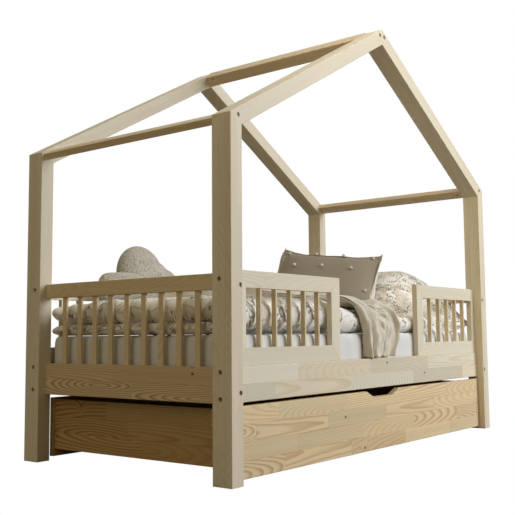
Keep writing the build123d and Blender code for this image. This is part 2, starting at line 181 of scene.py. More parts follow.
def pine_group() -> bpy.types.NodeTree:
    """Finger-jointed pine: blocks of their own tone, each with growth rings, fibres and knots.

    The vector's X runs along the grain, Y across the board's width, Z through its thickness.
    A block's rings are circles round a pith line that lies below its face and slants along
    it, which gives straight lines on some blocks and pointed arches on others.
    """
    tree, g, given, out = new_group(
        "pine", {"Vector": None, "Seed": 0.0, "Block Length": 0.4, "Block Width": 0.05,
                 "Block Depth": 0.06, "Light": rgb(0.7, 0.56, 0.36),
                 "Dark": rgb(0.45, 0.27, 0.11), "Figure": 0.5, "Spacing": 0.005, "Tone": 0.12,
                 "Knots": 0.15},
        {"Color": "Color", "Roughness": "Float", "Height": "Float"})
    x, y, z = g.split(given["Vector"])
    seed = given["Seed"]
    row = g.math("FLOOR", g.math("DIVIDE", y, given["Block Width"]))
    layer = g.math("FLOOR", g.math("DIVIDE", z, given["Block Depth"]))
    shift = g.add("ShaderNodeTexWhiteNoise", {"Vector": g.join(row, layer, seed)}).outputs[0]
    u = g.math("MULTIPLY_ADD", shift, 9.7, g.math("DIVIDE", x, given["Block Length"]))
    column = g.math("FLOOR", u)
    chance = g.add("ShaderNodeTexWhiteNoise", {"Vector": g.join(
        g.math("MULTIPLY_ADD", seed, 3.1, column), row,
        g.math("MULTIPLY_ADD", seed, 17.3, layer))})
    c0, (c1, c2, c3) = chance.outputs["Value"], g.split(chance.outputs["Color"])
    along = g.math("MULTIPLY", g.math("SUBTRACT", g.math("FRACT", u), 0.5),
                   given["Block Length"])
    across = g.math("SUBTRACT", y, g.math("MULTIPLY", g.math("ADD", row, 0.5),
                                          given["Block Width"]))
    deep = g.math("SUBTRACT", z, g.math("MULTIPLY", g.math("ADD", layer, 0.5),
                                        given["Block Depth"]))

    # the pith line: off to one side, below the face, and slanting along the block
    side = g.math("MULTIPLY", g.math("MULTIPLY_ADD", c1, 2.2, -1.1), given["Block Width"])
    below = g.math("MULTIPLY_ADD", c2, 0.05, 0.012)
    slant = g.math("MULTIPLY_ADD", c3, 0.34, -0.17)
    far = g.math("ADD", g.math("MULTIPLY_ADD", slant, along, below), deep)
    wander = g.noise(g.vector("MULTIPLY", given["Vector"], (3.0, 14.0, 14.0)), 1.0, 3.0)
    ring = g.length(g.join(g.math("SUBTRACT", across, side), far))
    ring = g.math("MULTIPLY_ADD", g.math("SUBTRACT", wander, 0.5), 0.013, ring)

    # a knot in some blocks pushes the rings round itself
    knot_at = g.join(g.math("MULTIPLY", g.math("SUBTRACT", along, g.math(
        "MULTIPLY", g.math("SUBTRACT", c1, 0.5), g.math("MULTIPLY", given["Block Length"], 0.6))),
        0.7), g.math("SUBTRACT", across, g.math("MULTIPLY", g.math("SUBTRACT", c3, 0.5),
                                                 g.math("MULTIPLY", given["Block Width"], 0.5))))
    off = g.length(knot_at)
    some = g.math("LESS_THAN", c0, given["Knots"])
    swell = g.math("MULTIPLY", some, g.smooth(off, 0.028, 0.004))
    ring = g.math("MULTIPLY_ADD", swell, 0.012, ring)
    knot = g.math("MULTIPLY", some, g.smooth(off, 0.0055, 0.0032))

    gap = g.math("MULTIPLY", given["Spacing"], g.math("MULTIPLY_ADD", c2, 0.9, 0.65))
    part = g.math("FRACT", g.math("DIVIDE", ring, gap))
    late = g.math("MULTIPLY", g.smooth(part, 0.30, 0.90), g.smooth(part, 1.0, 0.92))
    strength = g.math("MULTIPLY", given["Figure"], g.math("MULTIPLY_ADD", c3, 0.9, 0.45))
    fibre = g.noise(g.vector("MULTIPLY", given["Vector"], (11.0, 520.0, 520.0)), 1.0, 2.0)
    streak = g.noise(g.vector("MULTIPLY", given["Vector"], (1.7, 60.0, 60.0)), 1.0, 3.0)
    amount = g.math("MULTIPLY_ADD", g.math("SUBTRACT", streak, 0.5), 0.45,
                    g.math("MULTIPLY", late, strength), clamp=True)
    amount = g.math("MULTIPLY_ADD", g.math("SUBTRACT", fibre, 0.5), 0.16, amount, clamp=True)
    color = g.mix(amount, given["Light"], given["Dark"])
    tone = g.math("MULTIPLY_ADD", g.math("SUBTRACT", c0, 0.5), given["Tone"], 1.0)
    warm = g.math("MULTIPLY_ADD", g.math("SUBTRACT", c2, 0.5),
                  g.math("MULTIPLY", given["Tone"], -0.9), tone)
    color = g.mix(1.0, color, g.join(tone, g.math("MULTIPLY_ADD", tone, 0.5, g.math(
        "MULTIPLY", warm, 0.5)), warm), "MULTIPLY")
    color = g.mix(g.math("MULTIPLY", knot, 0.8), color, rgb(0.16, 0.075, 0.03))

    edge_x = g.math("MULTIPLY", g.math("PINGPONG", u, 0.5), given["Block Length"])
    edge_y = g.math("SUBTRACT", g.math("MULTIPLY", given["Block Width"], 0.5),
                    g.math("ABSOLUTE", across))
    seam = g.smooth(g.math("MINIMUM", edge_x, edge_y), 0.0012, 0.0002)
    color = g.mix(g.math("MULTIPLY", seam, 0.3), color, given["Dark"])
    rough = g.math("MULTIPLY_ADD", fibre, 0.16, 0.44)
    height = g.math("SUBTRACT", g.math("MULTIPLY_ADD", fibre, 0.5, g.math(
        "MULTIPLY", late, strength)), g.math("MULTIPLY", seam, 0.8))
    for key, value in (("Color", color), ("Roughness", rough), ("Height", height)):
        g.feed(out.inputs[key], value)
    return tree


def weave_group() -> bpy.types.NodeTree:
    """Plain weave with slubs: threads over and under each other, some thicker than others. Its tint
    is partly painted shade, darker where the threads dip under, and partly the slubs' own tone.
    """
    tree, g, given, out = new_group(
        "weave", {"Vector": None, "Thread": 0.0012, "Slub": 0.4},
        {"Tint": "Float", "Height": "Float"})
    turns = g.vector("SCALE", given["Vector"])
    g.feed(turns.node.inputs["Scale"], g.math("DIVIDE", np.pi, given["Thread"]))
    x, y, _ = g.split(turns)
    over = g.math("MULTIPLY", g.math("SINE", x), g.math("SINE", y))
    warp = g.noise(g.vector("MULTIPLY", given["Vector"], (900.0, 40.0, 40.0)), 1.0, 1.0)
    weft = g.noise(g.vector("MULTIPLY", given["Vector"], (40.0, 900.0, 40.0)), 1.0, 1.0)
    slub = g.math("MULTIPLY", g.math("SUBTRACT", g.math("ADD", warp, weft), 1.0), given["Slub"])
    height = g.math("ADD", g.math("MULTIPLY", over, 0.3), slub)
    g.feed(out.inputs["Height"], height)
    # the tint is painted shade where threads dip under, plus the slubs' own tone
    g.feed(out.inputs["Tint"], g.math("MULTIPLY_ADD", height, 0.5, 0.5, clamp=True))
    return tree


def leaf_group() -> bpy.types.NodeTree:
    """Hand-drawn sprigs: petal outlines with a vein each, loose stems, and pale washes.

    Every cell of a scattered pattern has one bloom.  Its outline is a radius that swings
    with the angle round the cell's middle, and the vein runs out to each petal's tip.
    """
    tree, g, given, out = new_group(
        "leaf_print", {"Vector": None, "Size": 0.06, "Line": 0.0011},
        {"Ink": "Float", "Wash": "Float", "Chance": "Float"})
    shake = g.add("ShaderNodeTexNoise", {"Vector": given["Vector"], "Scale": 55.0}).outputs[1]
    bent = g.vector("ADD", given["Vector"], g.vector(
        "MULTIPLY", g.vector("SUBTRACT", shake, (0.5, 0.5, 0.5)), (0.018, 0.018, 0.0)))
    ink, wash, kept = 0.0, 0.0, None
    for scale, petals, seed in ((1.0, 2.5, 0.0), (1.45, 1.5, 3.7)):
        placed = g.vector("ADD", bent, (seed, seed * 0.7, 0.0))
        cell = g.add("ShaderNodeTexVoronoi", {"Vector": placed, "Scale": g.math(
            "DIVIDE", scale, given["Size"])}, voronoi_dimensions="2D")
        chance, other, _ = g.split(cell.outputs["Color"])
        local = g.vector("SUBTRACT", placed, cell.outputs["Position"])
        lx, ly, _ = g.split(local)
        radius = g.length(g.join(lx, ly))
        angle = g.math("MULTIPLY_ADD", chance, 6.28, g.math("ARCTAN2", ly, lx))
        swing = g.math("ABSOLUTE", g.math("COSINE", g.math("MULTIPLY", angle, petals)))
        reach = g.math("MULTIPLY", g.math("MULTIPLY_ADD", g.math("POWER", swing, 0.7), 0.36, 0.12),
                       g.math("DIVIDE", given["Size"], scale))
        reach = g.math("MULTIPLY", reach, g.math("MULTIPLY_ADD", other, 0.7, 0.7))
        outline = g.math("ABSOLUTE", g.math("SUBTRACT", radius, reach))
        vein = g.math("MULTIPLY", g.math("ABSOLUTE", g.math("SINE", g.math(
            "MULTIPLY", angle, petals))), radius)
        inside = g.math("LESS_THAN", radius, reach)
        vein = g.math("ADD", vein, g.math("SUBTRACT", 1.0, inside))
        nearest = g.math("MINIMUM", outline, vein)
        drawn = g.math("LESS_THAN", nearest, given["Line"])
        shown = g.math("GREATER_THAN", other, 0.42)
        ink = g.math("MAXIMUM", ink, g.math("MULTIPLY", drawn, shown))
        tinted = g.math("MULTIPLY", inside, g.math("GREATER_THAN", chance, 0.45))
        wash = g.math("MAXIMUM", wash, g.math("MULTIPLY", tinted, shown))
        kept = chance if kept is None else kept
    contour = g.math("ABSOLUTE", g.math("SUBTRACT", g.noise(bent, 17.0, 1.0), 0.5))
    stem = g.math("LESS_THAN", contour, 0.010)
    patch = g.math("GREATER_THAN", g.noise(given["Vector"], 9.0, 1.0), 0.46)
    ink = g.math("MULTIPLY", ink, g.math("MULTIPLY_ADD", patch, 0.85, 0.15))
    g.feed(out.inputs["Ink"], g.math("MAXIMUM", ink, g.math("MULTIPLY", stem, 0.55)))
    g.feed(out.inputs["Wash"], g.math("MULTIPLY", wash, g.noise(given["Vector"], 70.0, 2.0)))
    g.feed(out.inputs["Chance"], kept)
    return tree


def mitre_group() -> bpy.types.NodeTree:
    """The line of a mitre at each corner of a frame in the XZ plane.

    Distances are folded about the frame's middle, so that one corner stands for all four;
    the line is where the way in from the side equals the way in from the top.
    """
    tree, g, given, out = new_group("mitre", {"Vector": None, "Middle": None, "Half": None},
                                    {"Line": "Float"})
    x, _, z = g.split(g.vector("SUBTRACT", given["Half"], g.vector(
        "ABSOLUTE", g.vector("SUBTRACT", given["Vector"], given["Middle"]))))
    line = g.smooth(g.math("ABSOLUTE", g.math("SUBTRACT", x, z)), 0.0026, 0.0008)
    near = g.math("LESS_THAN", g.math("MAXIMUM", x, z), 0.06)
    g.feed(out.inputs["Line"], g.math("MULTIPLY", line, near))
    return tree


PINE, WEAVE, LEAVES = pine_group(), weave_group(), leaf_group()
MITRE = mitre_group()


def material(name: str) -> tuple[bpy.types.Material, Graph, bpy.types.Node]:
    """A new material with its graph and its Principled shader."""
    made = bpy.data.materials.new(name)
    made.use_nodes = True
    return made, Graph(made.node_tree), made.node_tree.nodes["Principled BSDF"]


def bump(g: Graph, shader: bpy.types.Node, height: object, distance: float,
         strength: float = 1.0) -> None:
    """Feed a height into the shader's normal.

    Args:
        g: the material's graph.
        shader: its Principled shader.
        height: a value from 0 to 1.
        distance: the relief's depth in metres.
        strength: how much of it shows.
    """
    node = g.add("ShaderNodeBump", {"Height": height, "Distance": distance,
                                    "Strength": strength})
    g.feed(shader.inputs["Normal"], node.outputs[0])


# ------------------------------------------------------------------ finishes
class Direction(Enum):
    """Which way a board lies: its grain's direction, then the direction of its width."""

    LENGTHWISE = ((1, 0, 0), (0, 0, 1))
    LENGTHWISE_FLAT = ((1, 0, 0), (0, 1, 0))
    CROSSWISE = ((0, 1, 0), (0, 0, 1))
    CROSSWISE_FLAT = ((0, 1, 0), (1, 0, 0))
    CROSSWISE_TILTED = ((0, 1, 0), (0.7071, 0, 0.7071))
    UPRIGHT = ((0, 0, 1), (0, 1, 0))
    UPRIGHT_ALONG = ((0, 0, 1), (1, 0, 0))
    RISING = ((0.8716, 0, 0.4901), (0, 1, 0))
    FALLING = ((0.8716, 0, -0.4901), (0, 1, 0))


class Cut(Enum):
    """The stock a board is sawn from: light colour, dark colour; the drawer's stock is also
    darkened with painted shade.
    """

    PALE = (rgb(0.725, 0.68, 0.555), rgb(0.55, 0.41, 0.24))
    HONEY = (rgb(0.70, 0.60, 0.41), rgb(0.40, 0.24, 0.10))
    AMBER = (rgb(0.73, 0.59, 0.375), rgb(0.40, 0.22, 0.08))
    # golden stock darkened with painted shade, for the drawer's sides and back, which stand in
    # shadow
    GOLDEN_IN_SHADE = (rgb(0.50, 0.36, 0.165), rgb(0.30, 0.15, 0.05))


@dataclass(frozen=True)
class Timber:
    """How one kind of board is jointed and grained."""

    direction: Direction
    block: tuple[float, float, float]
    cut: Cut = Cut.PALE
    figure: float = 0.3
    tone: float = 0.12
    spacing: float = 0.005
    knots: float = 0.14

    def dress(self, node: str, seed: float) -> None:
        """Give a CAD board its own pine, with its blocks counted from the board's edges.

        Args:
            node: the CAD node.
            seed: moves the pattern, so that no two boards are alike.
        """
        along, wide = (Vector(v) for v in self.direction.value)
        turn = Matrix((along, wide, along.cross(wide)))
        low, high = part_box(node)
        middle, size = turn @ ((low + high) / 2), high - low
        spread = [sum(abs(a) * s for a, s in zip(row, size)) for row in turn]
        clear = 0.7 * MM  # keeps a board's faces off the borders between blocks
        place = Vector((seed * 0.731, spread[1] / 2 + clear, spread[2] / 2 + clear)) - middle
        made, g, shader = material("pine_" + node)
        where = g.add("ShaderNodeTexCoord").outputs["Object"]
        turned = g.add("ShaderNodeMapping", {"Vector": where, "Location": place,
                                             "Rotation": turn.to_euler("XYZ")}).outputs[0]
        light, dark = self.cut.value
        pine = g.group(PINE, Vector=turned, Seed=seed, Block_Length=self.block[0],
                       Block_Width=self.block[1], Block_Depth=self.block[2], Light=light,
                       Dark=dark, Figure=self.figure, Spacing=self.spacing, Tone=self.tone,
                       Knots=self.knots if self.figure > FIGURED else 0.0)
        color = pine.outputs["Color"]
        guard = "_".join(node.split("_")[:2])
        if guard in ("guard_left", "guard_right"):
            corners = [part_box(guard + part) for part in ("_bottom_rail", "_top_rail")]
            first, last = corners[0][0], corners[1][1]
            line = g.group(MITRE, Vector=where, Middle=(first + last) / 2,
                           Half=(last - first) / 2).outputs[0]
            color = g.mix(g.math("MULTIPLY", line, 0.45), color, dark)
        g.feed(shader.inputs["Base Color"], color)
        g.feed(shader.inputs["Roughness"], pine.outputs["Roughness"])
        shader.inputs["Specular IOR Level"].default_value = 0.32
        bump(g, shader, pine.outputs["Height"], 0.25 * MM, 0.6)
        paint(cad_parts[node], made)


def paint(piece: bpy.types.Object, *finishes: bpy.types.Material) -> None:
    """Put these materials into a piece's slots in place of what is there."""
    piece.data.materials.clear()
    for made in finishes:
        piece.data.materials.append(made)


@dataclass(frozen=True)
class Hardware:
    """A hard finish with a little unevenness: metal or moulded plastic."""

    name: str
    color: Color
    metallic: float
    roughness: tuple[float, float]
    grain: float

    def make(self) -> bpy.types.Material:
        """Build the material."""
        made, g, shader = material(self.name)
        where = g.add("ShaderNodeTexCoord").outputs["Object"]
        spots = g.noise(where, self.grain, 3.0)
        dark = rgb(*(c * 0.72 for c in self.color[:3]))
        g.feed(shader.inputs["Base Color"], g.mix(spots, dark, self.color))
        low, high = self.roughness
        g.feed(shader.inputs["Roughness"], g.math("MULTIPLY_ADD", spots, high - low, low))
        shader.inputs["Metallic"].default_value = self.metallic
        bump(g, shader, spots, 0.05 * MM, 0.5)
        return made


@dataclass(frozen=True)
class Cloth:
    """A woven fabric read from a piece's own UV map, which is in metres."""

    name: str
    color: Color
    shade: Color
    thread: float = 0.0012
    slub: float = 0.4
    relief: float = 0.25 * MM
    sheen: float = 0.15
    print_size: float = 0.0
    ink: Color = rgb(0.10, 0.075, 0.05)
    wash: Color = rgb(0.52, 0.42, 0.25)
    crumple: float = 0.0

    def make(self) -> bpy.types.Material:
        """Build the material."""
        made, g, shader = material(self.name)
        uv = g.add("ShaderNodeTexCoord").outputs["UV"]
        weave = g.group(WEAVE, Vector=uv, Thread=self.thread, Slub=self.slub)
        # painted shade of the weave: the shade colour where the threads dip under
        color = g.mix(weave.outputs["Tint"], self.shade, self.color)
        if self.print_size:
            leaf = g.group(LEAVES, Vector=uv, Size=self.print_size,
                           Line=self.print_size / PENS_PER_SPRIG)
            color = g.mix(g.math("MULTIPLY", leaf.outputs["Wash"], 0.78), color, self.wash)
            color = g.mix(g.math("MULTIPLY", leaf.outputs["Ink"], 0.8), color, self.ink)
        g.feed(shader.inputs["Base Color"], color)
        shader.inputs["Roughness"].default_value = 0.88
        shader.inputs["Specular IOR Level"].default_value = 0.2
        shader.inputs["Sheen Weight"].default_value = self.sheen
        shader.inputs["Sheen Roughness"].default_value = 0.6
        height = weave.outputs["Height"]
        if self.crumple:
            soft = g.noise(uv, 26.0, 4.0)
            height = g.math("MULTIPLY_ADD", soft, self.crumple / self.relief, height)
        bump(g, shader, height, self.relief)
        return made


@dataclass(frozen=True)
class LoopPile:
    """Curly looped pile: small round loops, with painted shade in the hollows between them."""

    name: str
    color: Color
    # painted shade for the hollows between the loops
    painted_hollow_shade: Color
    loop: float = 0.0042

    def make(self) -> bpy.types.Material:
        """Build the material."""
        made, g, shader = material(self.name)
        where = g.add("ShaderNodeTexCoord").outputs["Object"]
        curl = g.add("ShaderNodeTexNoise", {"Vector": where, "Scale": 120.0}).outputs[1]
        sway = g.add("ShaderNodeVectorMath", {0: g.vector("SUBTRACT", curl, (0.5, 0.5, 0.5)),
                                              "Scale": 0.006}, operation="SCALE").outputs[0]
        bent = g.vector("ADD", where, sway)
        cell = g.add("ShaderNodeTexVoronoi", {"Vector": bent, "Scale": 1 / self.loop}
                     ).outputs["Distance"]
        patch = g.noise(where, 60.0, 2.0)
        depth = g.math("MULTIPLY_ADD", g.math("SUBTRACT", patch, 0.5), 0.5, cell, clamp=True)
        # painted shade: darker away from each loop's middle towards the hollows, varied in patches
        g.feed(shader.inputs["Base Color"], g.mix(g.smooth(depth, 0.30, 0.85), self.color,
                                                  self.painted_hollow_shade))
        shader.inputs["Roughness"].default_value = 0.95
        shader.inputs["Sheen Weight"].default_value = 0.3
        bump(g, shader, g.math("SUBTRACT", 1.0, cell), 1.8 * MM)
        return made


# ------------------------------------------------------------------ surfaces
def quads(rows: int, columns: int, ring: bool = False) -> Array:
    """Corner numbers of a grid's faces, closed round its columns where ring is true."""
    i = np.arange(rows - 1)[:, None]
    j = np.arange(columns if ring else columns - 1)[None, :]
    k = (j + 1) % columns
    faces = np.stack([i * columns + j, i * columns + k, (i + 1) * columns + k,
                      (i + 1) * columns + j], -1)
    return faces.reshape(-1, 4)


def mesh_piece(name: str, points: Array, faces: Array, uv: Array | None = None,
               finishes: tuple[bpy.types.Material, ...] = (),
               which: Array | None = None) -> bpy.types.Object:
    """Make an object from arrays.

    Args:
        name: the piece's name.
        points: corner places, one row each.
        faces: four corner numbers per face.
        uv: a place on the cloth per corner, in metres.
        finishes: the piece's materials.
        which: the material number of each face.

    Returns:
        The new object, smooth shaded and with its faces pointing outwards as given.
    """
    mesh = bpy.data.meshes.new(name)
    mesh.vertices.add(len(points))
    mesh.vertices.foreach_set("co", np.asarray(points, np.float32).ravel())
    mesh.loops.add(faces.size)
    mesh.loops.foreach_set("vertex_index", faces.astype(np.int32).ravel())
    mesh.polygons.add(len(faces))
    mesh.polygons.foreach_set("loop_start", np.arange(0, faces.size, 4, dtype=np.int32))
    if uv is not None:
        layer = mesh.uv_layers.new(name="cloth")
        layer.data.foreach_set("uv", np.asarray(uv, np.float32)[faces.ravel()].ravel())
    mesh.polygons.foreach_set("use_smooth", np.ones(len(faces), bool))
    mesh.update(calc_edges=True)
    piece = bpy.data.objects.new(name, mesh)
    bpy.context.scene.collection.objects.link(piece)
    for made in finishes:
        mesh.materials.append(made)
    if which is not None:
        mesh.polygons.foreach_set("material_index", which.astype(np.int32))
    mesh.validate()
    return piece


def sewn(front: Array, back: Array) -> tuple[Array, Array, Array]:
    """Join a front and a back grid that share their rim.

    Args:
        front: grid of places whose faces point outwards.
        back: grid of the same shape, reversed when joined.

    Returns:
        The points, the faces and each face's side: 0 for front, 1 for back.
    """
    rows, columns = front.shape[:2]
    other = np.arange(rows * columns).reshape(rows, columns)
    inner = other[1:-1, 1:-1]
    inner[:] = rows * columns + np.arange(inner.size).reshape(inner.shape)
    grid = quads(rows, columns)
    faces = np.concatenate([grid, other.ravel()[grid][:, ::-1]])
    side = np.repeat([0, 1], len(grid))
    points = np.concatenate([front.reshape(-1, 3), back[1:-1, 1:-1].reshape(-1, 3)])
    return points, faces, side


def sewn_uv(across: Array, along: Array, shift: float) -> Array:
    """Places on the cloth for a sewn piece's points; shift moves the back's own cloth."""
    cloth = np.stack([across, along], -1)
    return np.concatenate([cloth.reshape(-1, 2), cloth[1:-1, 1:-1].reshape(-1, 2) + shift])


def fans(count: int, last: int, pole: int) -> Array:
    """Triangles that close both ends of a stack of rings.

    Args:
        count: points in a ring.
        last: number of the last ring's first point.
        pole: number of the point inside the first ring; the last ring's pole follows it.

    Returns:
        Three corner numbers per triangle.
    """
    ring = np.arange(count)
    ahead = np.roll(ring, -1)
    poles = np.full(count, pole)
    return np.concatenate([np.stack([poles, ahead, ring], -1),
                           np.stack([poles + 1, last + ring, last + ahead], -1)])


def ripples(x: Array, y: Array, seed: int, wave: float, count: int = 9) -> Array:
    """Smooth random waves: a sum of sines in random directions.

    Args:
        x: places along the first direction, in metres.
        y: places along the second direction.
        seed: picks the waves.
        wave: their typical wavelength.
        count: how many sines are added.

    Returns:
        Heights that mostly stay between -1 and 1.
    """
    draw = np.random.default_rng(seed)
    angle, phase = draw.uniform(0, np.pi, count), draw.uniform(0, 2 * np.pi, count)
    rate = 2 * np.pi / (wave * draw.uniform(0.7, 1.5, count))
    total = sum(np.sin(r * (x * np.cos(a) + y * np.sin(a)) + p)
                for r, a, p in zip(rate, angle, phase))
    return total / np.sqrt(count)


def smoothstep(value: Array, low: float, high: float) -> Array:
    """A smooth step of value from 0 at low to 1 at high."""
    t = np.clip((value - low) / (high - low), 0, 1)
    return t * t * (3 - 2 * t)


def rounded(distance: Array, radius: float) -> Array:
    """How full a soft edge is at a distance inside it: a quarter circle up to 1."""
    return np.sqrt(np.clip(1 - (1 - np.clip(distance / radius, 0, 1)) ** 2, 0, 1))


def even(count: int, sharp: float = 1.6) -> Array:
    """Places from -1 to 1, closer together near both ends."""
    t = np.linspace(-1, 1, count)
    return np.sign(t) * (1 - (1 - np.abs(t)) ** sharp)


def placed(points: Array, centre: tuple, degrees: tuple) -> Array:
    """Turn points about X, then Y, then Z, and move them.

    Args:
        points: places, one row each.
        centre: where the origin goes.
        degrees: the turn about each axis.

    Returns:
        The moved places.
    """
    turn = np.array(Euler(np.radians(degrees), "XYZ").to_matrix())
    return points @ turn.T + np.array(centre)


def places(piece: bpy.types.Object) -> Array:
    """A mesh's corner places as rows."""
    flat = np.zeros(len(piece.data.vertices) * 3, np.float32)
    piece.data.vertices.foreach_get("co", flat)
    return flat.reshape(-1, 3).astype(float)


def set_places(piece: bpy.types.Object, points: Array) -> None:
    """Write a mesh's corner places."""
    piece.data.vertices.foreach_set("co", np.asarray(points, np.float32).ravel())
    piece.data.update()


def settle(piece: bpy.types.Object, pressure: float, frames: int, ease: float, cap: float,
           stiffness: float = 12.0, bending: float = 0.3) -> None:
    """Let cloth fill out and crease by simulation, and keep the result in the mesh.

    Args:
        piece: a closed mesh.
        pressure: how hard the filling pushes.
        frames: how long it runs.
        ease: how much larger the cloth is cut than the start shape, as a share.
        cap: the furthest that a point may move, in metres.
        stiffness: resistance to stretch.
        bending: resistance to folding.
    """
    start = places(piece)
    cloth = piece.modifiers.new("cloth", "CLOTH")
    rule = cloth.settings
    rule.quality, rule.mass = 6, 0.25
    rule.tension_stiffness = rule.compression_stiffness = stiffness
    rule.shear_stiffness, rule.bending_stiffness = stiffness / 2, bending
    rule.use_pressure, rule.uniform_pressure_force = True, pressure
    rule.shrink_min = -ease
    rule.effector_weights.gravity = 0
    cloth.point_cache.frame_start, cloth.point_cache.frame_end = 1, frames + 1
    scene = bpy.context.scene
    for step in range(1, frames + 1):
        scene.frame_set(step)
    shown = piece.evaluated_get(bpy.context.evaluated_depsgraph_get())
    after = places(shown)
    piece.modifiers.remove(cloth)
    scene.frame_set(1)
    move = after - start
    far = np.linalg.norm(move, axis=1, keepdims=True)
    set_places(piece, start + move * np.minimum(1, cap / np.maximum(far, 1e-9)))


def refine(piece: bpy.types.Object, levels: int = 1) -> None:
    """Finish a soft piece with a subdivision surface."""
    smooth = piece.modifiers.new("smooth", "SUBSURF")
    smooth.levels = smooth.render_levels = levels


def tube(path: Array, radius: float, sides: int) -> tuple[Array, Array]:
    """Carry a circle along a closed path.

    The circle's frame at each point comes from the path's direction and the direction away
    from the path's middle.

    Args:
        path: the centre line, one row per point.
        radius: the tube's radius.
        sides: points round the circle.

    Returns:
        Points and faces.
    """
    ahead = np.roll(path, -1, 0) - np.roll(path, 1, 0)
    ahead /= np.linalg.norm(ahead, axis=1, keepdims=True)
    out = path - path.mean(0)
    out -= ahead * np.sum(out * ahead, 1, keepdims=True)
    out /= np.linalg.norm(out, axis=1, keepdims=True)
    up = np.cross(ahead, out)
    angle = np.linspace(0, 2 * np.pi, sides, endpoint=False)
    ring = (out[:, None] * np.cos(angle)[None, :, None]
            + up[:, None] * np.sin(angle)[None, :, None]) * radius + path[:, None]
    faces = quads(len(path) + 1, sides, ring=True) % (len(path) * sides)
    return ring.reshape(-1, 3), faces


# ------------------------------------------------------------------ woodwork
@dataclass
class Woodwork:
    """Every pine board, with the stock that each kind is cut from."""

    post: Timber = Timber(Direction.UPRIGHT, (0.62, 0.0234, 0.025), Cut.PALE, 0.22, 0.10)
    kinds: dict[str, Timber] = field(default_factory=lambda: {
        "rafter_front_left": Timber(Direction.RISING, (0.70, 0.0234, 0.025), Cut.PALE, 0.2, 0.08),
        "rafter_back_left": Timber(Direction.RISING, (0.70, 0.0234, 0.025), Cut.PALE, 0.2, 0.08),
        "rafter_": Timber(Direction.FALLING, (0.70, 0.0234, 0.025), Cut.PALE, 0.2, 0.08),
        "ridge": Timber(Direction.CROSSWISE_TILTED, (0.6, 0.022, 0.022), Cut.HONEY, 0.25, 0.08),
        "eave": Timber(Direction.CROSSWISE_FLAT, (0.7, 0.06, 0.03), Cut.HONEY, 0.25, 0.06),
        "side_rail": Timber(Direction.LENGTHWISE, (0.43, 0.0508, 0.05), Cut.PALE, 0.42, 0.24),
        "end_board": Timber(Direction.CROSSWISE, (0.46, 0.051, 0.05), Cut.HONEY, 0.75, 0.14),
        "end_top": Timber(Direction.CROSSWISE, (0.52, 0.05, 0.05), Cut.HONEY, 0.3, 0.08),
        "end_slats": Timber(Direction.UPRIGHT, (3.0, 0.0734, 0.05), Cut.HONEY, 0.2, 0.10),
        "guard_right_stiles": Timber(Direction.UPRIGHT_ALONG, (3.0, 0.2, 0.05), Cut.PALE, 0.25),
        "guard_left_stiles": Timber(Direction.UPRIGHT_ALONG, (3.0, 0.2, 0.05), Cut.PALE, 0.25),
        "guard_left_slats": Timber(Direction.UPRIGHT_ALONG, (3.0, 0.075, 0.05), Cut.HONEY, 0.2),
        "guard_right_slats": Timber(Direction.UPRIGHT_ALONG, (3.0, 0.075, 0.05), Cut.HONEY, 0.2),
        "guard_": Timber(Direction.LENGTHWISE, (0.62, 0.06, 0.05), Cut.PALE, 0.30, 0.07),
        "back_guard_slats": Timber(Direction.UPRIGHT_ALONG, (3.0, 0.0752, 0.05), Cut.PALE, 0.2),
        "back_guard": Timber(Direction.LENGTHWISE, (0.62, 0.06, 0.05), Cut.PALE, 0.30, 0.08),
        "mattress_cleat": Timber(Direction.LENGTHWISE, (0.8, 0.05, 0.05), Cut.HONEY, 0.3),
        "base_slats": Timber(Direction.CROSSWISE_FLAT, (2.0, 0.123, 0.05), Cut.HONEY, 0.4),
        "drawer_front": Timber(Direction.LENGTHWISE, (0.37, 0.05025, 0.05), Cut.AMBER, 0.50,
                               0.20, 0.0065),
        # the drawer's sides and back take the golden stock darkened with painted shade
        "drawer_side": Timber(Direction.CROSSWISE, (0.44, 0.0547, 0.05), Cut.GOLDEN_IN_SHADE, 0.7, 0.3,
                              0.0075),
        "drawer_back": Timber(Direction.LENGTHWISE, (0.45, 0.0483, 0.05), Cut.GOLDEN_IN_SHADE, 0.5, 0.16),
        "drawer_bearers": Timber(Direction.CROSSWISE_FLAT, (0.9, 0.08, 0.05), Cut.HONEY, 0.4),
        "drawer_corner": Timber(Direction.UPRIGHT, (0.9, 0.05, 0.05), Cut.HONEY, 0.3),
        "drawer_bottom": Timber(Direction.LENGTHWISE_FLAT, (3.0, 0.5, 0.05), Cut.HONEY, 0.35,
                                0.06, 0.012),
    })

    def dress(self) -> None:
        """Give every board its pine."""
        seed = 1.0
        for node in sorted(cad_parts):
            kind = self.post if node.startswith("post_") else next(
                (k for start, k in self.kinds.items() if node.startswith(start)), None)
            if kind is not None and "screws" not in node:
                kind.dress(node, seed)
                LOG.info("board %s", node)
                seed += 1.0


@dataclass
class Fittings:
    """Bolts, barrel nuts, screws, axles, wheels and their brackets."""

    # dark brass colour: partly the fittings' yellow zinc finish, partly painted shade of the
    # counterbores that the bolts sit in
    steel: Hardware = Hardware("zinc_steel", rgb(0.50, 0.39, 0.23), 1.0, (0.30, 0.48), 900.0)
    wheel: Hardware = Hardware("wheel_rubber", rgb(0.035, 0.035, 0.037), 0.0, (0.55, 0.75), 700.0)
    bracket: Hardware = Hardware("bracket_plastic", rgb(0.10, 0.10, 0.10), 0.0, (0.45, 0.6), 600.0)

    def dress(self) -> None:
        """Give every fitting its finish."""
        steel, wheel, bracket = self.steel.make(), self.wheel.make(), self.bracket.make()
        for node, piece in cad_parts.items():
            if any(word in node for word in ("bolts", "nuts", "screws", "axles")):
                paint(piece, steel)
            elif node.startswith("drawer_wheel_brackets"):
                paint(piece, bracket)
            elif node.startswith("drawer_wheel_"):
                paint(piece, wheel)
        LOG.info("fittings dressed")


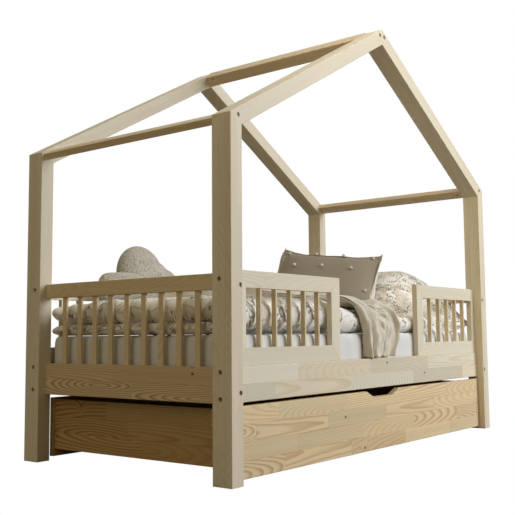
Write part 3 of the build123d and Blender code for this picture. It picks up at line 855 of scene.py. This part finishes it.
# ------------------------------------------------------------------ bedding
@dataclass
class Mattress:
    """The mattress in its fitted sheet."""

    corner: float = 0.028
    edge: float = 0.028
    bulge: float = 0.004
    rim_count: int = 480
    finish: Cloth = Cloth("fitted_sheet", rgb(0.75, 0.755, 0.75), rgb(0.66, 0.665, 0.66), 0.0009,
                          0.25, 0.12 * MM, 0.1, crumple=1.6 * MM)

    def plan(self, half: Array) -> tuple[Array, Array]:
        """Points evenly round a rectangle with rounded corners.

        A corner is a quarter circle of sixteen steps; the sides are straight.

        Args:
            half: half the rectangle's length and width.

        Returns:
            The points and each one's distance round the rim.
        """
        arc = np.linspace(0, np.pi / 2, 17)
        corner = np.stack([np.cos(arc), np.sin(arc)], -1) * self.corner + half - self.corner
        mirrored = corner * (-1, 1)
        outline = np.concatenate([corner, mirrored[::-1], -corner, -mirrored[::-1]])
        loop = np.concatenate([outline, outline[:1]])
        run = np.concatenate([[0], np.cumsum(np.linalg.norm(np.diff(loop, axis=0), axis=1))])
        at = np.linspace(0, run[-1], self.rim_count, endpoint=False)
        return np.stack([np.interp(at, run, loop[:, k]) for k in (0, 1)], -1), at

    def build(self) -> bpy.types.Object:
        """Carry the mattress's side profile round its rounded plan.

        The profile runs from the middle of the underside, out, up a slightly bulging side
        with soft edges, and back in to the middle of the top; the plan shrinks to a point
        at both ends of it.
        """
        low, high = (np.array(v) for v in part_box("mattress"))
        centre, half = (low + high) / 2, (high - low) / 2
        plan, turn = self.plan(half[:2])
        inward = np.linspace(0.02, 1, FACE_RINGS) ** 0.8
        side = np.linspace(-np.pi / 2, np.pi / 2, SIDE_RINGS)
        bend = np.sign(np.sin(side)) * np.abs(np.sin(side)) ** 0.45
        pull = 1 - np.abs(np.cos(side)) ** 0.45
        scale = np.concatenate([inward, np.full(SIDE_RINGS, 1.0), inward[::-1]])
        face = np.full(FACE_RINGS, 1.0)
        inset = np.concatenate([face, pull, face]) * self.edge
        height = np.concatenate([-face, bend, face])
        reach = np.linalg.norm(plan, axis=1)
        unit = plan / reach[:, None]
        grid = np.zeros((len(scale), self.rim_count, 3))
        grid[..., :2] = (plan[None] - unit[None] * inset[:, None, None]) * scale[:, None, None]
        grid[..., 2] = height[:, None] * half[2]
        wave = ripples(grid[..., 0] + grid[..., 2], grid[..., 1], 11, 0.24) * 1.4 * MM
        crease = ripples(turn[None] + 0 * wave, grid[..., 2] * 0.4, 12, 0.11) * 1.0 * MM
        flat = np.abs(height) > 0.98
        push = ~flat[:, None] * (wave * 0.6 + crease)
        grid[..., :2] -= unit[None] * np.abs(push)[..., None]
        grid[-FACE_RINGS:, :, 2] -= np.abs(wave[-FACE_RINGS:]) * 0.8
        points = np.concatenate([grid.reshape(-1, 3), [[0, 0, -half[2]], [0, 0, half[2]]]])
        faces = quads(len(scale), self.rim_count, ring=True)
        last = (len(scale) - 1) * self.rim_count
        uv = np.stack([np.broadcast_to(turn, grid.shape[:2]), grid[..., 2]], -1)
        uv[flat] = grid[flat][..., :2]
        uv = np.concatenate([uv.reshape(-1, 2), [[0, 0], [0, 0]]])
        piece = mesh_piece("mattress_in_sheet", points + centre, faces, uv,
                           (self.finish.make(),))
        caps_to_mesh(piece, fans(self.rim_count, last, len(points) - 2))
        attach(piece, "bed_frame")
        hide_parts("mattress")
        return piece


def caps_to_mesh(piece: bpy.types.Object, triangles: Array) -> None:
    """Add triangles between corners that a mesh already has, such as the fans at its poles."""
    shape = bmesh.new()
    shape.from_mesh(piece.data)
    shape.verts.ensure_lookup_table()
    layer = shape.loops.layers.uv.active
    for corners in triangles.tolist():
        face = shape.faces.new([shape.verts[k] for k in corners])
        face.smooth = True
        for loop in face.loops:
            loop[layer].uv = loop.vert.co.xy
    shape.to_mesh(piece.data)
    shape.free()


@dataclass
class Duvet:
    """A duvet folded in two along its length, the fold towards the way in."""

    rows: int = 170
    columns: int = 190
    gap: float = 0.002
    edge: float = 0.034
    under: float = 0.34
    finish: Cloth = Cloth("printed_cotton", rgb(0.88, 0.865, 0.835), rgb(0.78, 0.765, 0.73), 0.0009,
                          0.2, 0.10 * MM, 0.1, print_size=0.078, crumple=1.4 * MM)

    def crest(self, x: Array) -> Array:
        """Height of the duvet's top along the bed."""
        return np.interp(x, (-0.80, -0.30, -0.19, -0.06, 0.06, 0.43),
                         (0.520, 0.520, 0.497, 0.484, 0.472, 0.470))

    def build(self) -> bpy.types.Object:
        """Fold a filled sheet round a half circle, with soft edges, billows and creases.

        Its middle surface runs forward over the mattress, turns up through a half circle
        and runs back on top of itself; the filling stands off it both ways by half the
        thickness, falling to nothing at the sewn rim.
        """
        low, high = (np.array(v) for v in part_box("duvet"))
        floor_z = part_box("mattress")[1].z + 0.0015
        x = (low[0] + high[0]) / 2 + even(self.rows, 1.5) * (high[0] - low[0]) / 2
        share = (even(self.columns, 1.3) + 1) / 2
        x, share = np.meshgrid(x, share, indexing="ij")
        whole = self.crest(x) - floor_z - self.gap
        radius = whole / 4 + self.gap / 2
        fold_y = low[1] + radius + whole / 4
        tail_y = high[1] - 0.004
        run = tail_y - fold_y
        total = 2 * run + np.pi * radius
        s = share * total
        angle = np.clip((s - run) / radius, 0, np.pi)
        y = np.where(s < run, tail_y - s,
                     np.where(s > total - run, fold_y + s - (total - run),
                              fold_y - radius * np.sin(angle)))
        upper = smoothstep(angle, 0.4, 2.9)
        whole = whole - 0.026 * smoothstep(y, 0.12, 0.38) * upper
        thick = whole * (self.under + (1 - 2 * self.under) * upper)
        z = floor_z + whole * self.under / 2 + radius - radius * np.cos(angle)
        out_y, out_z = -np.sin(angle), -np.cos(angle)
        rim = np.minimum(np.minimum(x - x.min(), x.max() - x), np.minimum(s, total - s))
        fill = rounded(rim, self.edge)
        billow = ripples(x, s, 21, 0.30) * 0.5 + ripples(x, s, 22, 0.13) * 0.4
        crease = ripples(x * 1.8, s * 0.7, 23, 0.055)
        half = thick / 2 * fill * (1 + 0.05 * ripples(x, s, 24, 0.17) * fill)
        lift = (billow * 5.0 + crease * 0.7) * MM * (0.2 + 0.8 * upper)
        frill = (1 - smoothstep(rim, 0.0, 0.05)) * (0.4 + 0.6 * upper)
        z = z + lift * smoothstep(rim, 0, 0.08) + frill * ripples(s, x, 25, 0.085) * 7 * MM
        x = x + (1 - smoothstep(rim, 0.0, 0.06)) * ripples(s, x, 26, 0.11) * 6 * MM
        middle = np.stack([x, y, z], -1)
        out = np.stack([np.zeros_like(x), out_y, out_z], -1)
        front, back = middle - out * half[..., None], middle + out * half[..., None]
        front[..., 2] = np.maximum(front[..., 2], floor_z)
        back[..., 2] = np.maximum(back[..., 2], floor_z)
        points, faces, _ = sewn(front, back)
        uv = sewn_uv(x, s, BACK_CLOTH_DUVET)
        piece = mesh_piece("folded_duvet", points, faces, uv, (self.finish.make(),))
        settle(piece, 0.9, 10, 0.012, 5 * MM, 8.0, 0.2)
        after = places(piece)
        after[:, 2] = np.maximum(after[:, 2], floor_z)
        set_places(piece, after)
        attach(piece, "bed_frame")
        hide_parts("duvet")
        return piece


@dataclass
class Cushion:
    """A rectangular cushion sewn from two cloths, filled so that its sides pull in."""

    name: str
    node: str
    slot: str
    size: tuple[float, float, float]
    centre: tuple[float, float, float]
    degrees: tuple[float, float, float]
    front: Cloth
    back: Cloth
    fill: float = 0.6
    pull: tuple[float, float] = (0.05, 0.05)
    taper: tuple[float, float] = (4.0, 0.62)
    count: int = 62
    pressure: float = 2.6
    ease: float = 0.02
    cap: float = 0.016
    piping: float = 0.0
    droop: float = 0.0
    sag: float = 0.0
    bulge: float = 0.0

    def face(self, side: int, u: Array, v: Array) -> Array:
        """Places on one face before filling.

        Across, u and v run from -1 to 1.  The rim's middle is pulled in by a share that
        falls to nothing at the corners, and the crown's height is the product of how full
        each direction is.  The back may bulge past the rim along its low right side.

        Args:
            side: 1 for the front, -1 for the back.
            u: places across, from -1 to 1.
            v: places up, from -1 to 1.

        Returns:
            Places in the cushion's own frame.
        """
        wide, tall, deep = self.size
        pull_u = 1 - self.pull[0] * (1 - v ** 4) * np.abs(u) ** 3
        pull_v = 1 - self.pull[1] * (1 - u ** 4) * np.abs(v) ** 3
        power, full = self.taper
        crown = ((1 - np.abs(u) ** power) * (1 - np.abs(v) ** power)) ** full
        x = u * pull_u * wide / 2
        if side < 0:
            lower = np.clip((1 - v) / 1.2, 0, 1) * (1 - v ** 6)
            x = x + self.bulge * np.exp(-((u - 0.92) / 0.09) ** 2) * (1 - u ** 14) * lower
        return np.stack([x, v * pull_v * tall / 2, side * crown * deep / 2], -1)

    def build(self) -> bpy.types.Object:
        """Sew, fill and place the cushion."""
        u, v = np.meshgrid(even(self.count), even(self.count), indexing="ij")
        front, back = self.face(1, u, v), self.face(-1, u, v)
        points, faces, side = sewn(front, back)
        uv = sewn_uv(u * self.size[0] / 2, v * self.size[1] / 2, BACK_CLOTH_CUSHION)
        finishes = (self.front.make(), self.back.make())
        piece = mesh_piece(self.name, points, faces, uv, finishes, side)
        settle(piece, self.pressure, 16, self.ease, self.cap)
        local = self.drooped(self.parted(places(piece)))
        spots = placed(local, self.centre, self.degrees)
        spots[:, 2] -= self.sag * self.low_end(local)
        set_places(piece, spots)
        refine(piece)
        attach(piece, "bed_frame")
        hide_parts(self.node)
        self.local = local
        if self.piping:
            self.add_piping()
        return piece

    def parted(self, points: Array) -> Array:
        """Keep the front face at least a cloth's thickness clear of the back face."""
        n = self.count
        inner = np.arange(n * n).reshape(n, n)[1:-1, 1:-1].ravel()
        front, back = points[inner], points[n * n:]
        middle = (front[:, 2] + back[:, 2]) / 2
        half = np.maximum(front[:, 2] - back[:, 2], SEWN_APART) / 2
        points[inner, 2], points[n * n:, 2] = middle + half, middle - half
        return points

    def low_end(self, points: Array) -> Array:
        """Share, from 0 to 1, of the way down towards the end that lies low."""
        return smoothstep(-points[:, 1], 0.0, 0.37)

    def drooped(self, points: Array) -> Array:
        """Twist the cushion about its low edge, so that it lies flatter towards one end.

        The twist is the droop angle times a smooth step along the cushion's second axis.
        """
        if not self.droop:
            return points
        half = self.size[0] / 2
        angle = np.radians(self.droop) * self.low_end(points)
        x, z = points[:, 0] + half, points[:, 2]
        turned = np.stack([x * np.cos(angle) + z * np.sin(angle) - half, points[:, 1],
                           z * np.cos(angle) - x * np.sin(angle)], -1)
        return turned

    def add_piping(self) -> bpy.types.Object:
        """Run a thin corded seam round the rim."""
        n = self.count
        number = np.arange(n * n).reshape(n, n)
        rim = np.concatenate([number[0, :-1], number[:-1, -1], number[-1, :0:-1],
                              number[:0:-1, 0]])
        path = placed(self.local[rim], self.centre, self.degrees)
        points, faces = tube(path, self.piping, PIPE_SIDES)
        turn = np.broadcast_to(np.arange(PIPE_SIDES) * 1.2 * MM, (len(path), PIPE_SIDES))
        run = np.broadcast_to(np.arange(len(path))[:, None] * 7 * MM, turn.shape)
        uv = np.stack([run, turn], -1).reshape(-1, 2)
        piece = mesh_piece(self.name + "_piping", points, faces, uv, (self.back.make(),))
        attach(piece, "bed_frame")
        return piece

    def on_front(self, u: Array, v: Array) -> Array:
        """Places on the filled front face, for u and v from -1 to 1, in the cushion's frame."""
        n = self.count
        line = even(n)
        front = self.local[:n * n].reshape(n, n, 3)
        i, j = (np.abs(line[:, None] - t[None]).argmin(0) for t in (u, v))
        return front[i, j]


@dataclass
class Pompoms:
    """Small woollen balls sewn to a cushion's front in staggered rows."""

    cushion: Cushion
    radius: float = 7.5 * MM
    columns: int = 4
    rows: int = 4
    finish: LoopPile = LoopPile("pompom_wool", rgb(0.88, 0.84, 0.75), rgb(0.62, 0.57, 0.47),
                                0.0022)

    def build(self) -> bpy.types.Object:
        """Repeat one rough little ball over the cushion's front."""
        row, column = np.meshgrid(np.arange(self.rows), np.arange(self.columns), indexing="ij")
        u = (column - 1.5 + 0.37 * (row % 2)) * 0.58
        v = 0.85 - row * 0.56
        u, v = u[u < 0.95], v[u < 0.95]
        spots = self.cushion.on_front(u.ravel(), v.ravel())
        bands, around = 9, 12
        theta, phi = np.meshgrid(np.linspace(0.001, np.pi - 0.001, bands),
                                 np.linspace(0, 2 * np.pi, around, endpoint=False),
                                 indexing="ij")
        rough = 1 + 0.13 * np.sin(5 * phi + 3 * theta) * np.sin(4 * theta)
        ball = np.stack([np.sin(theta) * np.cos(phi), np.sin(theta) * np.sin(phi),
                         np.cos(theta)], -1) * rough[..., None] * self.radius
        lifted = spots + np.array([0, 0, self.radius * 0.55])
        points = (lifted[:, None] + ball.reshape(1, -1, 3)).reshape(-1, 3)
        one = quads(bands, around, ring=True)[:, ::-1]
        first = np.arange(len(spots)) * bands * around
        faces = (one[None] + first[:, None, None]).reshape(-1, 4)
        points = placed(points, self.cushion.centre, self.cushion.degrees)
        piece = mesh_piece("cushion_pompoms", points, faces, points[:, :2],
                           (self.finish.make(),))
        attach(piece, "bed_frame")
        return piece


@dataclass
class Cloud:
    """A cushion cut like a cloud with three lobes, in looped pile."""

    deep: float = 0.105
    rings: int = 30
    turns: int = 220
    finish: LoopPile = LoopPile("boucle", rgb(0.56, 0.53, 0.46), rgb(0.33, 0.29, 0.235))

    def outline(self, angle: Array) -> Array:
        """Distance from the middle to the rim: the furthest reach of lobes and a flat base."""
        lobes = ((-0.148, -0.024, 0.055), (0.0, 0.030, 0.106), (0.124, -0.012, 0.066),
                 (0.066, 0.002, 0.082),
                 (0.0, -0.035, 0.05), (-0.09, -0.03, 0.05), (0.09, -0.03, 0.05))
        best = np.zeros_like(angle)
        for x, y, r in lobes:
            along = x * np.cos(angle) + y * np.sin(angle)
            under = r * r - (x * x + y * y) + along ** 2
            reach = np.where(under > 0, along + np.sqrt(np.maximum(under, 0)), 0)
            best = np.maximum(best, reach)
        base = np.where(np.sin(angle) < -0.05, 0.072 / np.maximum(-np.sin(angle), 0.05), 9.0)
        return np.minimum(best, base)

    def build(self) -> bpy.types.Object:
        """Spread the outline over two faces, crowned like a filled cushion."""
        angle = np.linspace(0, 2 * np.pi, self.turns, endpoint=False)
        reach = self.outline(angle)
        for _ in range(3):
            reach = (np.roll(reach, 1) + reach * 2 + np.roll(reach, -1)) / 4
        share = 1 - (1 - np.linspace(0.02, 1, self.rings)) ** 1.7
        crown = (1 - share ** 2.6) ** 0.55
        x = share[:, None] * (reach * np.cos(angle))[None]
        y = share[:, None] * (reach * np.sin(angle))[None]
        lobe = 0.62 + 0.38 * np.minimum(1, reach / 0.125)[None]
        lobe = 1 + (lobe - 1) * smoothstep(share, 0.1, 0.8)[:, None]
        z = crown[:, None] * self.deep / 2 * lobe
        z = z + ripples(x, y, 31, 0.05) * 1.2 * MM * crown[:, None]
        front, back = np.stack([x, y, z], -1), np.stack([x, y, -z], -1)[:-1]
        n = self.turns
        points = np.concatenate([front.reshape(-1, 3), back[::-1].reshape(-1, 3),
                                 [[0, 0, z[0].mean()], [0, 0, -z[0].mean()]]])
        faces = quads(2 * self.rings - 1, n, ring=True)[:, ::-1]
        caps = fans(n, (2 * self.rings - 2) * n, len(points) - 2)[:, [0, 2, 1]]
        low, high = (np.array(v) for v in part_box("cloud_cushion"))
        centre = ((low[0] + high[0]) / 2, (low[1] + high[1]) / 2, low[2] + 0.083)
        piece = mesh_piece("cloud_pillow", placed(points, centre, (82, 0, 0)), faces,
                           points[:, :2], (self.finish.make(),))
        caps_to_mesh(piece, caps)
        refine(piece)
        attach(piece, "bed_frame")
        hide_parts("cloud_cushion")
        return piece


@dataclass
class Throw:
    """A light throw, folded double, pulled over the duvet and hanging through the way in."""

    rows: int = 150
    columns: int = 180
    depth: float = 14.0 * MM
    ridges: tuple[tuple[float, float, float, float], ...] = (
        (0.05, 0.6, 0.06, 1.2), (0.22, 0.8, 0.05, 1.5), (0.42, -1.6, 0.04, 0.7),
        (0.72, -2.6, 0.05, 0.8), (0.955, 0.0, 0.035, 1.4))
    apart: float = 3.0 * MM
    flat: tuple[float, float] = (0.50, 0.85)
    finish: Cloth = Cloth("throw_cotton", rgb(0.735, 0.69, 0.595), rgb(0.595, 0.55, 0.46), 0.0018,
                          0.6, 0.35 * MM, 0.25, crumple=0.8 * MM)

    def stations(self) -> Array:
        """Places the throw passes: left X, right X, Y, left Z, right Z, outward slope."""
        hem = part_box("throw_blanket")[0].z
        return np.array([
            (-0.640, -0.420, 0.060, 0.527, 0.527, 90), (-0.540, -0.320, -0.080, 0.527, 0.525, 90),
            (-0.400, -0.180, -0.210, 0.526, 0.504, 90), (-0.270, -0.030, -0.315, 0.519, 0.493, 82),
            (-0.165, 0.085, -0.372, 0.512, 0.487, 62), (-0.118, 0.140, -0.398, 0.492, 0.470, 25),
            (-0.104, 0.150, -0.405, 0.450, 0.436, 4), (-0.098, 0.126, -0.406, 0.400, 0.392, 0),
            (-0.096, 0.090, -0.406, hem, hem, 0)])

    def build(self) -> bpy.types.Object:
        """Carry a pleated double line through the stations.

        Across, the cloth goes from one edge to the other and back behind itself; each pass
        is drawn into rounded ridges along the outward direction, which drift sideways as
        they run down, with shallow hollows between them.
        """
        keys = self.stations()
        step = np.linalg.norm(np.diff(np.stack([keys[:, :2].mean(1), keys[:, 2],
                                                keys[:, 3:5].mean(1)], -1), axis=0), axis=1)
        at = np.concatenate([[0], np.cumsum(step)])
        s = np.linspace(0, at[-1], self.rows)
        line = np.stack([np.interp(s, at, column) for column in keys.T], -1)
        reach = 7
        window = np.hanning(2 * reach + 1)
        window /= window.sum()
        more = np.arange(1, reach + 1)[:, None]
        padded = np.concatenate([line[:1] - more[::-1] * (line[1] - line[0]), line,
                                 line[-1:] + more * (line[-1] - line[-2])])
        line = np.stack([np.convolve(c, window, "valid") for c in padded.T], -1)
        a = np.linspace(0, 2, self.columns)
        across = np.where(a <= 1, a, 2 - a)
        layer = np.cos(np.pi * smoothstep(a, 0.94, 1.06))
        across, layer = across[None, :], layer[None, :]
        brink = 5  # the station where the cloth turns down
        down = s[:, None] - at[brink]
        wave = -0.7 + 0.35 * ripples(across + 0 * down, down * 0.8 + 0 * across, 41, 0.28)
        for place, drift, width, tall in self.ridges:
            middle = place + drift * down * np.exp(-np.abs(down) * 1.2)
            wave = wave + tall * 1.5 * np.exp(-((across - middle) / width) ** 2)
        wave = wave + 0.22 * ripples(across * 0.5 - down, down + 0.5 * across, 44, 0.06)
        top = smoothstep(line[:, 5], 10, 80)[:, None]
        out = wave * self.depth * (0.75 + 0.1 * top) + layer * self.apart
        out = out + top * self.depth * 0.9
        x = line[:, :1] + (line[:, 1:2] - line[:, :1]) * across
        x = x + 5 * MM * ripples(s[:, None], across, 42, 0.15)
        z = line[:, 3:4] + (line[:, 4:5] - line[:, 3:4]) * across
        slope = np.radians(line[:, 5:6])
        y = line[:, 2:3] - out * np.cos(slope)
        z = z + out * np.sin(slope)
        hang = 1 - top
        z = z + hang * (s[:, None] > at[-1] - 0.12) * 3 * MM * ripples(across, s[:, None], 43, 0.3)
        z = np.maximum(z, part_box("side_rail_front")[1].z + 1 * MM)
        grid = np.stack([x, y, z], -1)
        uv = np.stack([(a[None] + 0 * s[:, None]) * self.flat[0] / 2,
                       s[:, None] + 0 * a[None]], -1)
        piece = mesh_piece("folded_throw", grid.reshape(-1, 3), quads(self.rows, self.columns),
                           uv.reshape(-1, 2), (self.finish.make(),))
        solid = piece.modifiers.new("thickness", "SOLIDIFY")
        solid.thickness, solid.offset = 1.8 * MM, 0.0
        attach(piece, "bed_frame")
        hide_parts("throw_blanket")
        return piece


# ------------------------------------------------------------------ studio
@dataclass
class Studio:
    """Floor, lights and camera."""

    camera_at: tuple[float, float, float] = (-2.58998, -1.90607, 0.41140)
    camera_turn: tuple[float, float, float] = (95.3226, 0.5502, -52.7303)
    lens: float = 58.168
    shift: tuple[float, float] = (-0.02927, -0.0031)
    floor_bounce: Color = rgb(0.21, 0.155, 0.09)

    def floor(self) -> None:
        """A wide pale floor."""
        half = 90.0
        points = np.array([(-half, -half, 0), (half, -half, 0), (half, half, 0),
                           (-half, half, 0)], float)
        made, g, shader = material("studio_floor")
        ray = g.add("ShaderNodeLightPath").outputs["Is Camera Ray"]
        g.feed(shader.inputs["Base Color"], g.mix(ray, self.floor_bounce, rgb(0.9, 0.9, 0.9)))
        shader.inputs["Roughness"].default_value = 1.0
        shader.inputs["Specular IOR Level"].default_value = 0.0
        glow = g.add("ShaderNodeEmission", {0: rgb(1, 1, 1), 1: 1.0}).outputs[0]
        both = g.add("ShaderNodeMixShader", {0: ray, 1: shader.outputs[0], 2: glow}).outputs[0]
        g.feed(made.node_tree.nodes["Material Output"].inputs[0], both)
        piece = mesh_piece("studio_floor", points, np.array([[0, 1, 2, 3]]), None, (made,))

    def light(self, name: str, at: tuple, aim: tuple, size: float, watts: float,
              color: tuple = (1.0, 1.0, 1.0), spread: float = 180) -> None:
        """Add one soft square light.

        Args:
            name: the light's name.
            at: its place.
            aim: the point that it faces.
            size: its side in metres.
            watts: its power.
            color: its linear colour.
            spread: the width of its beam in degrees.
        """
        data = bpy.data.lights.new(name, "AREA")
        data.shape, data.size, data.energy, data.color = "SQUARE", size, watts, color
        data.spread = np.radians(spread)
        lamp = bpy.data.objects.new(name, data)
        lamp.location = at
        lamp.rotation_euler = (Vector(aim) - Vector(at)).to_track_quat("-Z", "Y").to_euler()
        bpy.context.scene.collection.objects.link(lamp)

    def build(self) -> None:
        """Set up the whole studio."""
        self.floor()
        self.light("key", (2.4, -4.6, 2.9), (0.1, -0.2, 0.6), 4.2, 325, (0.92, 0.96, 1.0))
        self.light("fill", (-5.2, -0.6, 3.4), (0.2, 0.0, 1.2), 3.6, 44, (1.0, 0.87, 0.62))
        self.light("side", (-1.9, -1.3, 2.3), (0.75, -0.42, 1.05), 0.8, 1.6, (1.0, 0.82, 0.56),
                   44)
        self.light("top", (0.6, 0.8, 4.6), (0, 0, 0.6), 3.0, 60, (1.0, 0.97, 0.92))
        world = bpy.data.worlds.new("studio")
        world.use_nodes = True
        bpy.context.scene.world = world
        g = Graph(world.node_tree)
        back = world.node_tree.nodes["Background"]
        back.inputs[0].default_value = rgb(1.0, 0.83, 0.53)
        back.inputs[1].default_value = 0.19
        seen = g.add("ShaderNodeBackground", {0: rgb(1, 1, 1), 1: 1.0})
        ray = g.add("ShaderNodeLightPath").outputs["Is Camera Ray"]
        both = g.add("ShaderNodeMixShader", {0: ray, 1: back.outputs[0], 2: seen.outputs[0]})
        g.feed(world.node_tree.nodes["World Output"].inputs[0], both.outputs[0])
        bpy.context.scene.view_settings.view_transform = "Standard"
        data = bpy.data.cameras.new("camera")
        data.lens, data.sensor_width = self.lens, 36.0
        data.shift_x, data.shift_y = self.shift
        data.clip_start, data.clip_end = 0.05, 100.0
        camera = bpy.data.objects.new("camera", data)
        camera.location = self.camera_at
        camera.rotation_euler = np.radians(self.camera_turn)
        bpy.context.scene.collection.objects.link(camera)
        bpy.context.scene.camera = camera


GREIGE = Cloth("woven_greige", rgb(0.30, 0.262, 0.19), rgb(0.19, 0.162, 0.112), 0.0014, 0.7,
               0.3 * MM, 0.2)
CREAM = Cloth("cream_back", rgb(0.80, 0.78, 0.72), rgb(0.66, 0.63, 0.56), 0.0014, 0.4)


def main() -> None:
    """Build every piece in order."""
    Studio().build()
    Woodwork().dress()
    Fittings().dress()
    duvet = Duvet()
    linen = duvet.finish
    pillow_cotton = Cloth("pillow_cotton", linen.color, linen.shade, linen.thread, linen.slub,
                          linen.relief, linen.sheen, 0.070, crumple=1.4 * MM)
    cushion = Cushion("square_cushion_filled", "square_cushion", "woven_taupe",
                      (0.44, 0.415, 0.112), (0.360, 0.061, 0.628), (0, 0, 0), GREIGE, CREAM,
                      pull=(0.03, 0.27), taper=(3.4, 0.62), piping=1.1 * MM,
                      bulge=0.050)
    # the cushion's width lies along Y, its height leans up along +X, its front looks back
    turn = (Matrix.Rotation(np.radians(28), 3, "Z") @ Matrix.Rotation(np.radians(45), 3, "Y")
            @ Matrix.Rotation(np.radians(8), 3, "X"))
    face_on = Matrix(((0, 0, -1), (-1, 0, 0), (0, 1, 0)))
    cushion.degrees = tuple(np.degrees((turn @ face_on).to_euler("XYZ")))
    pillow = Cushion("pillow_filled", "sleeping_pillow", "printed_cotton", (0.41, 0.62, 0.150),
                     (0.608, -0.083, 0.569), (0, -30, 0), pillow_cotton, pillow_cotton, 0.55,
                     (0.05, 0.05), pressure=2.0, ease=0.03, cap=0.012, droop=27, sag=0.066)
    for maker in (Mattress(), duvet, pillow, cushion, Pompoms(cushion), Cloud(), Throw()):
        piece = maker.build()
        LOG.info("%s has %d faces", piece.name, len(piece.data.polygons))


if __name__ == "__main__":
    main()
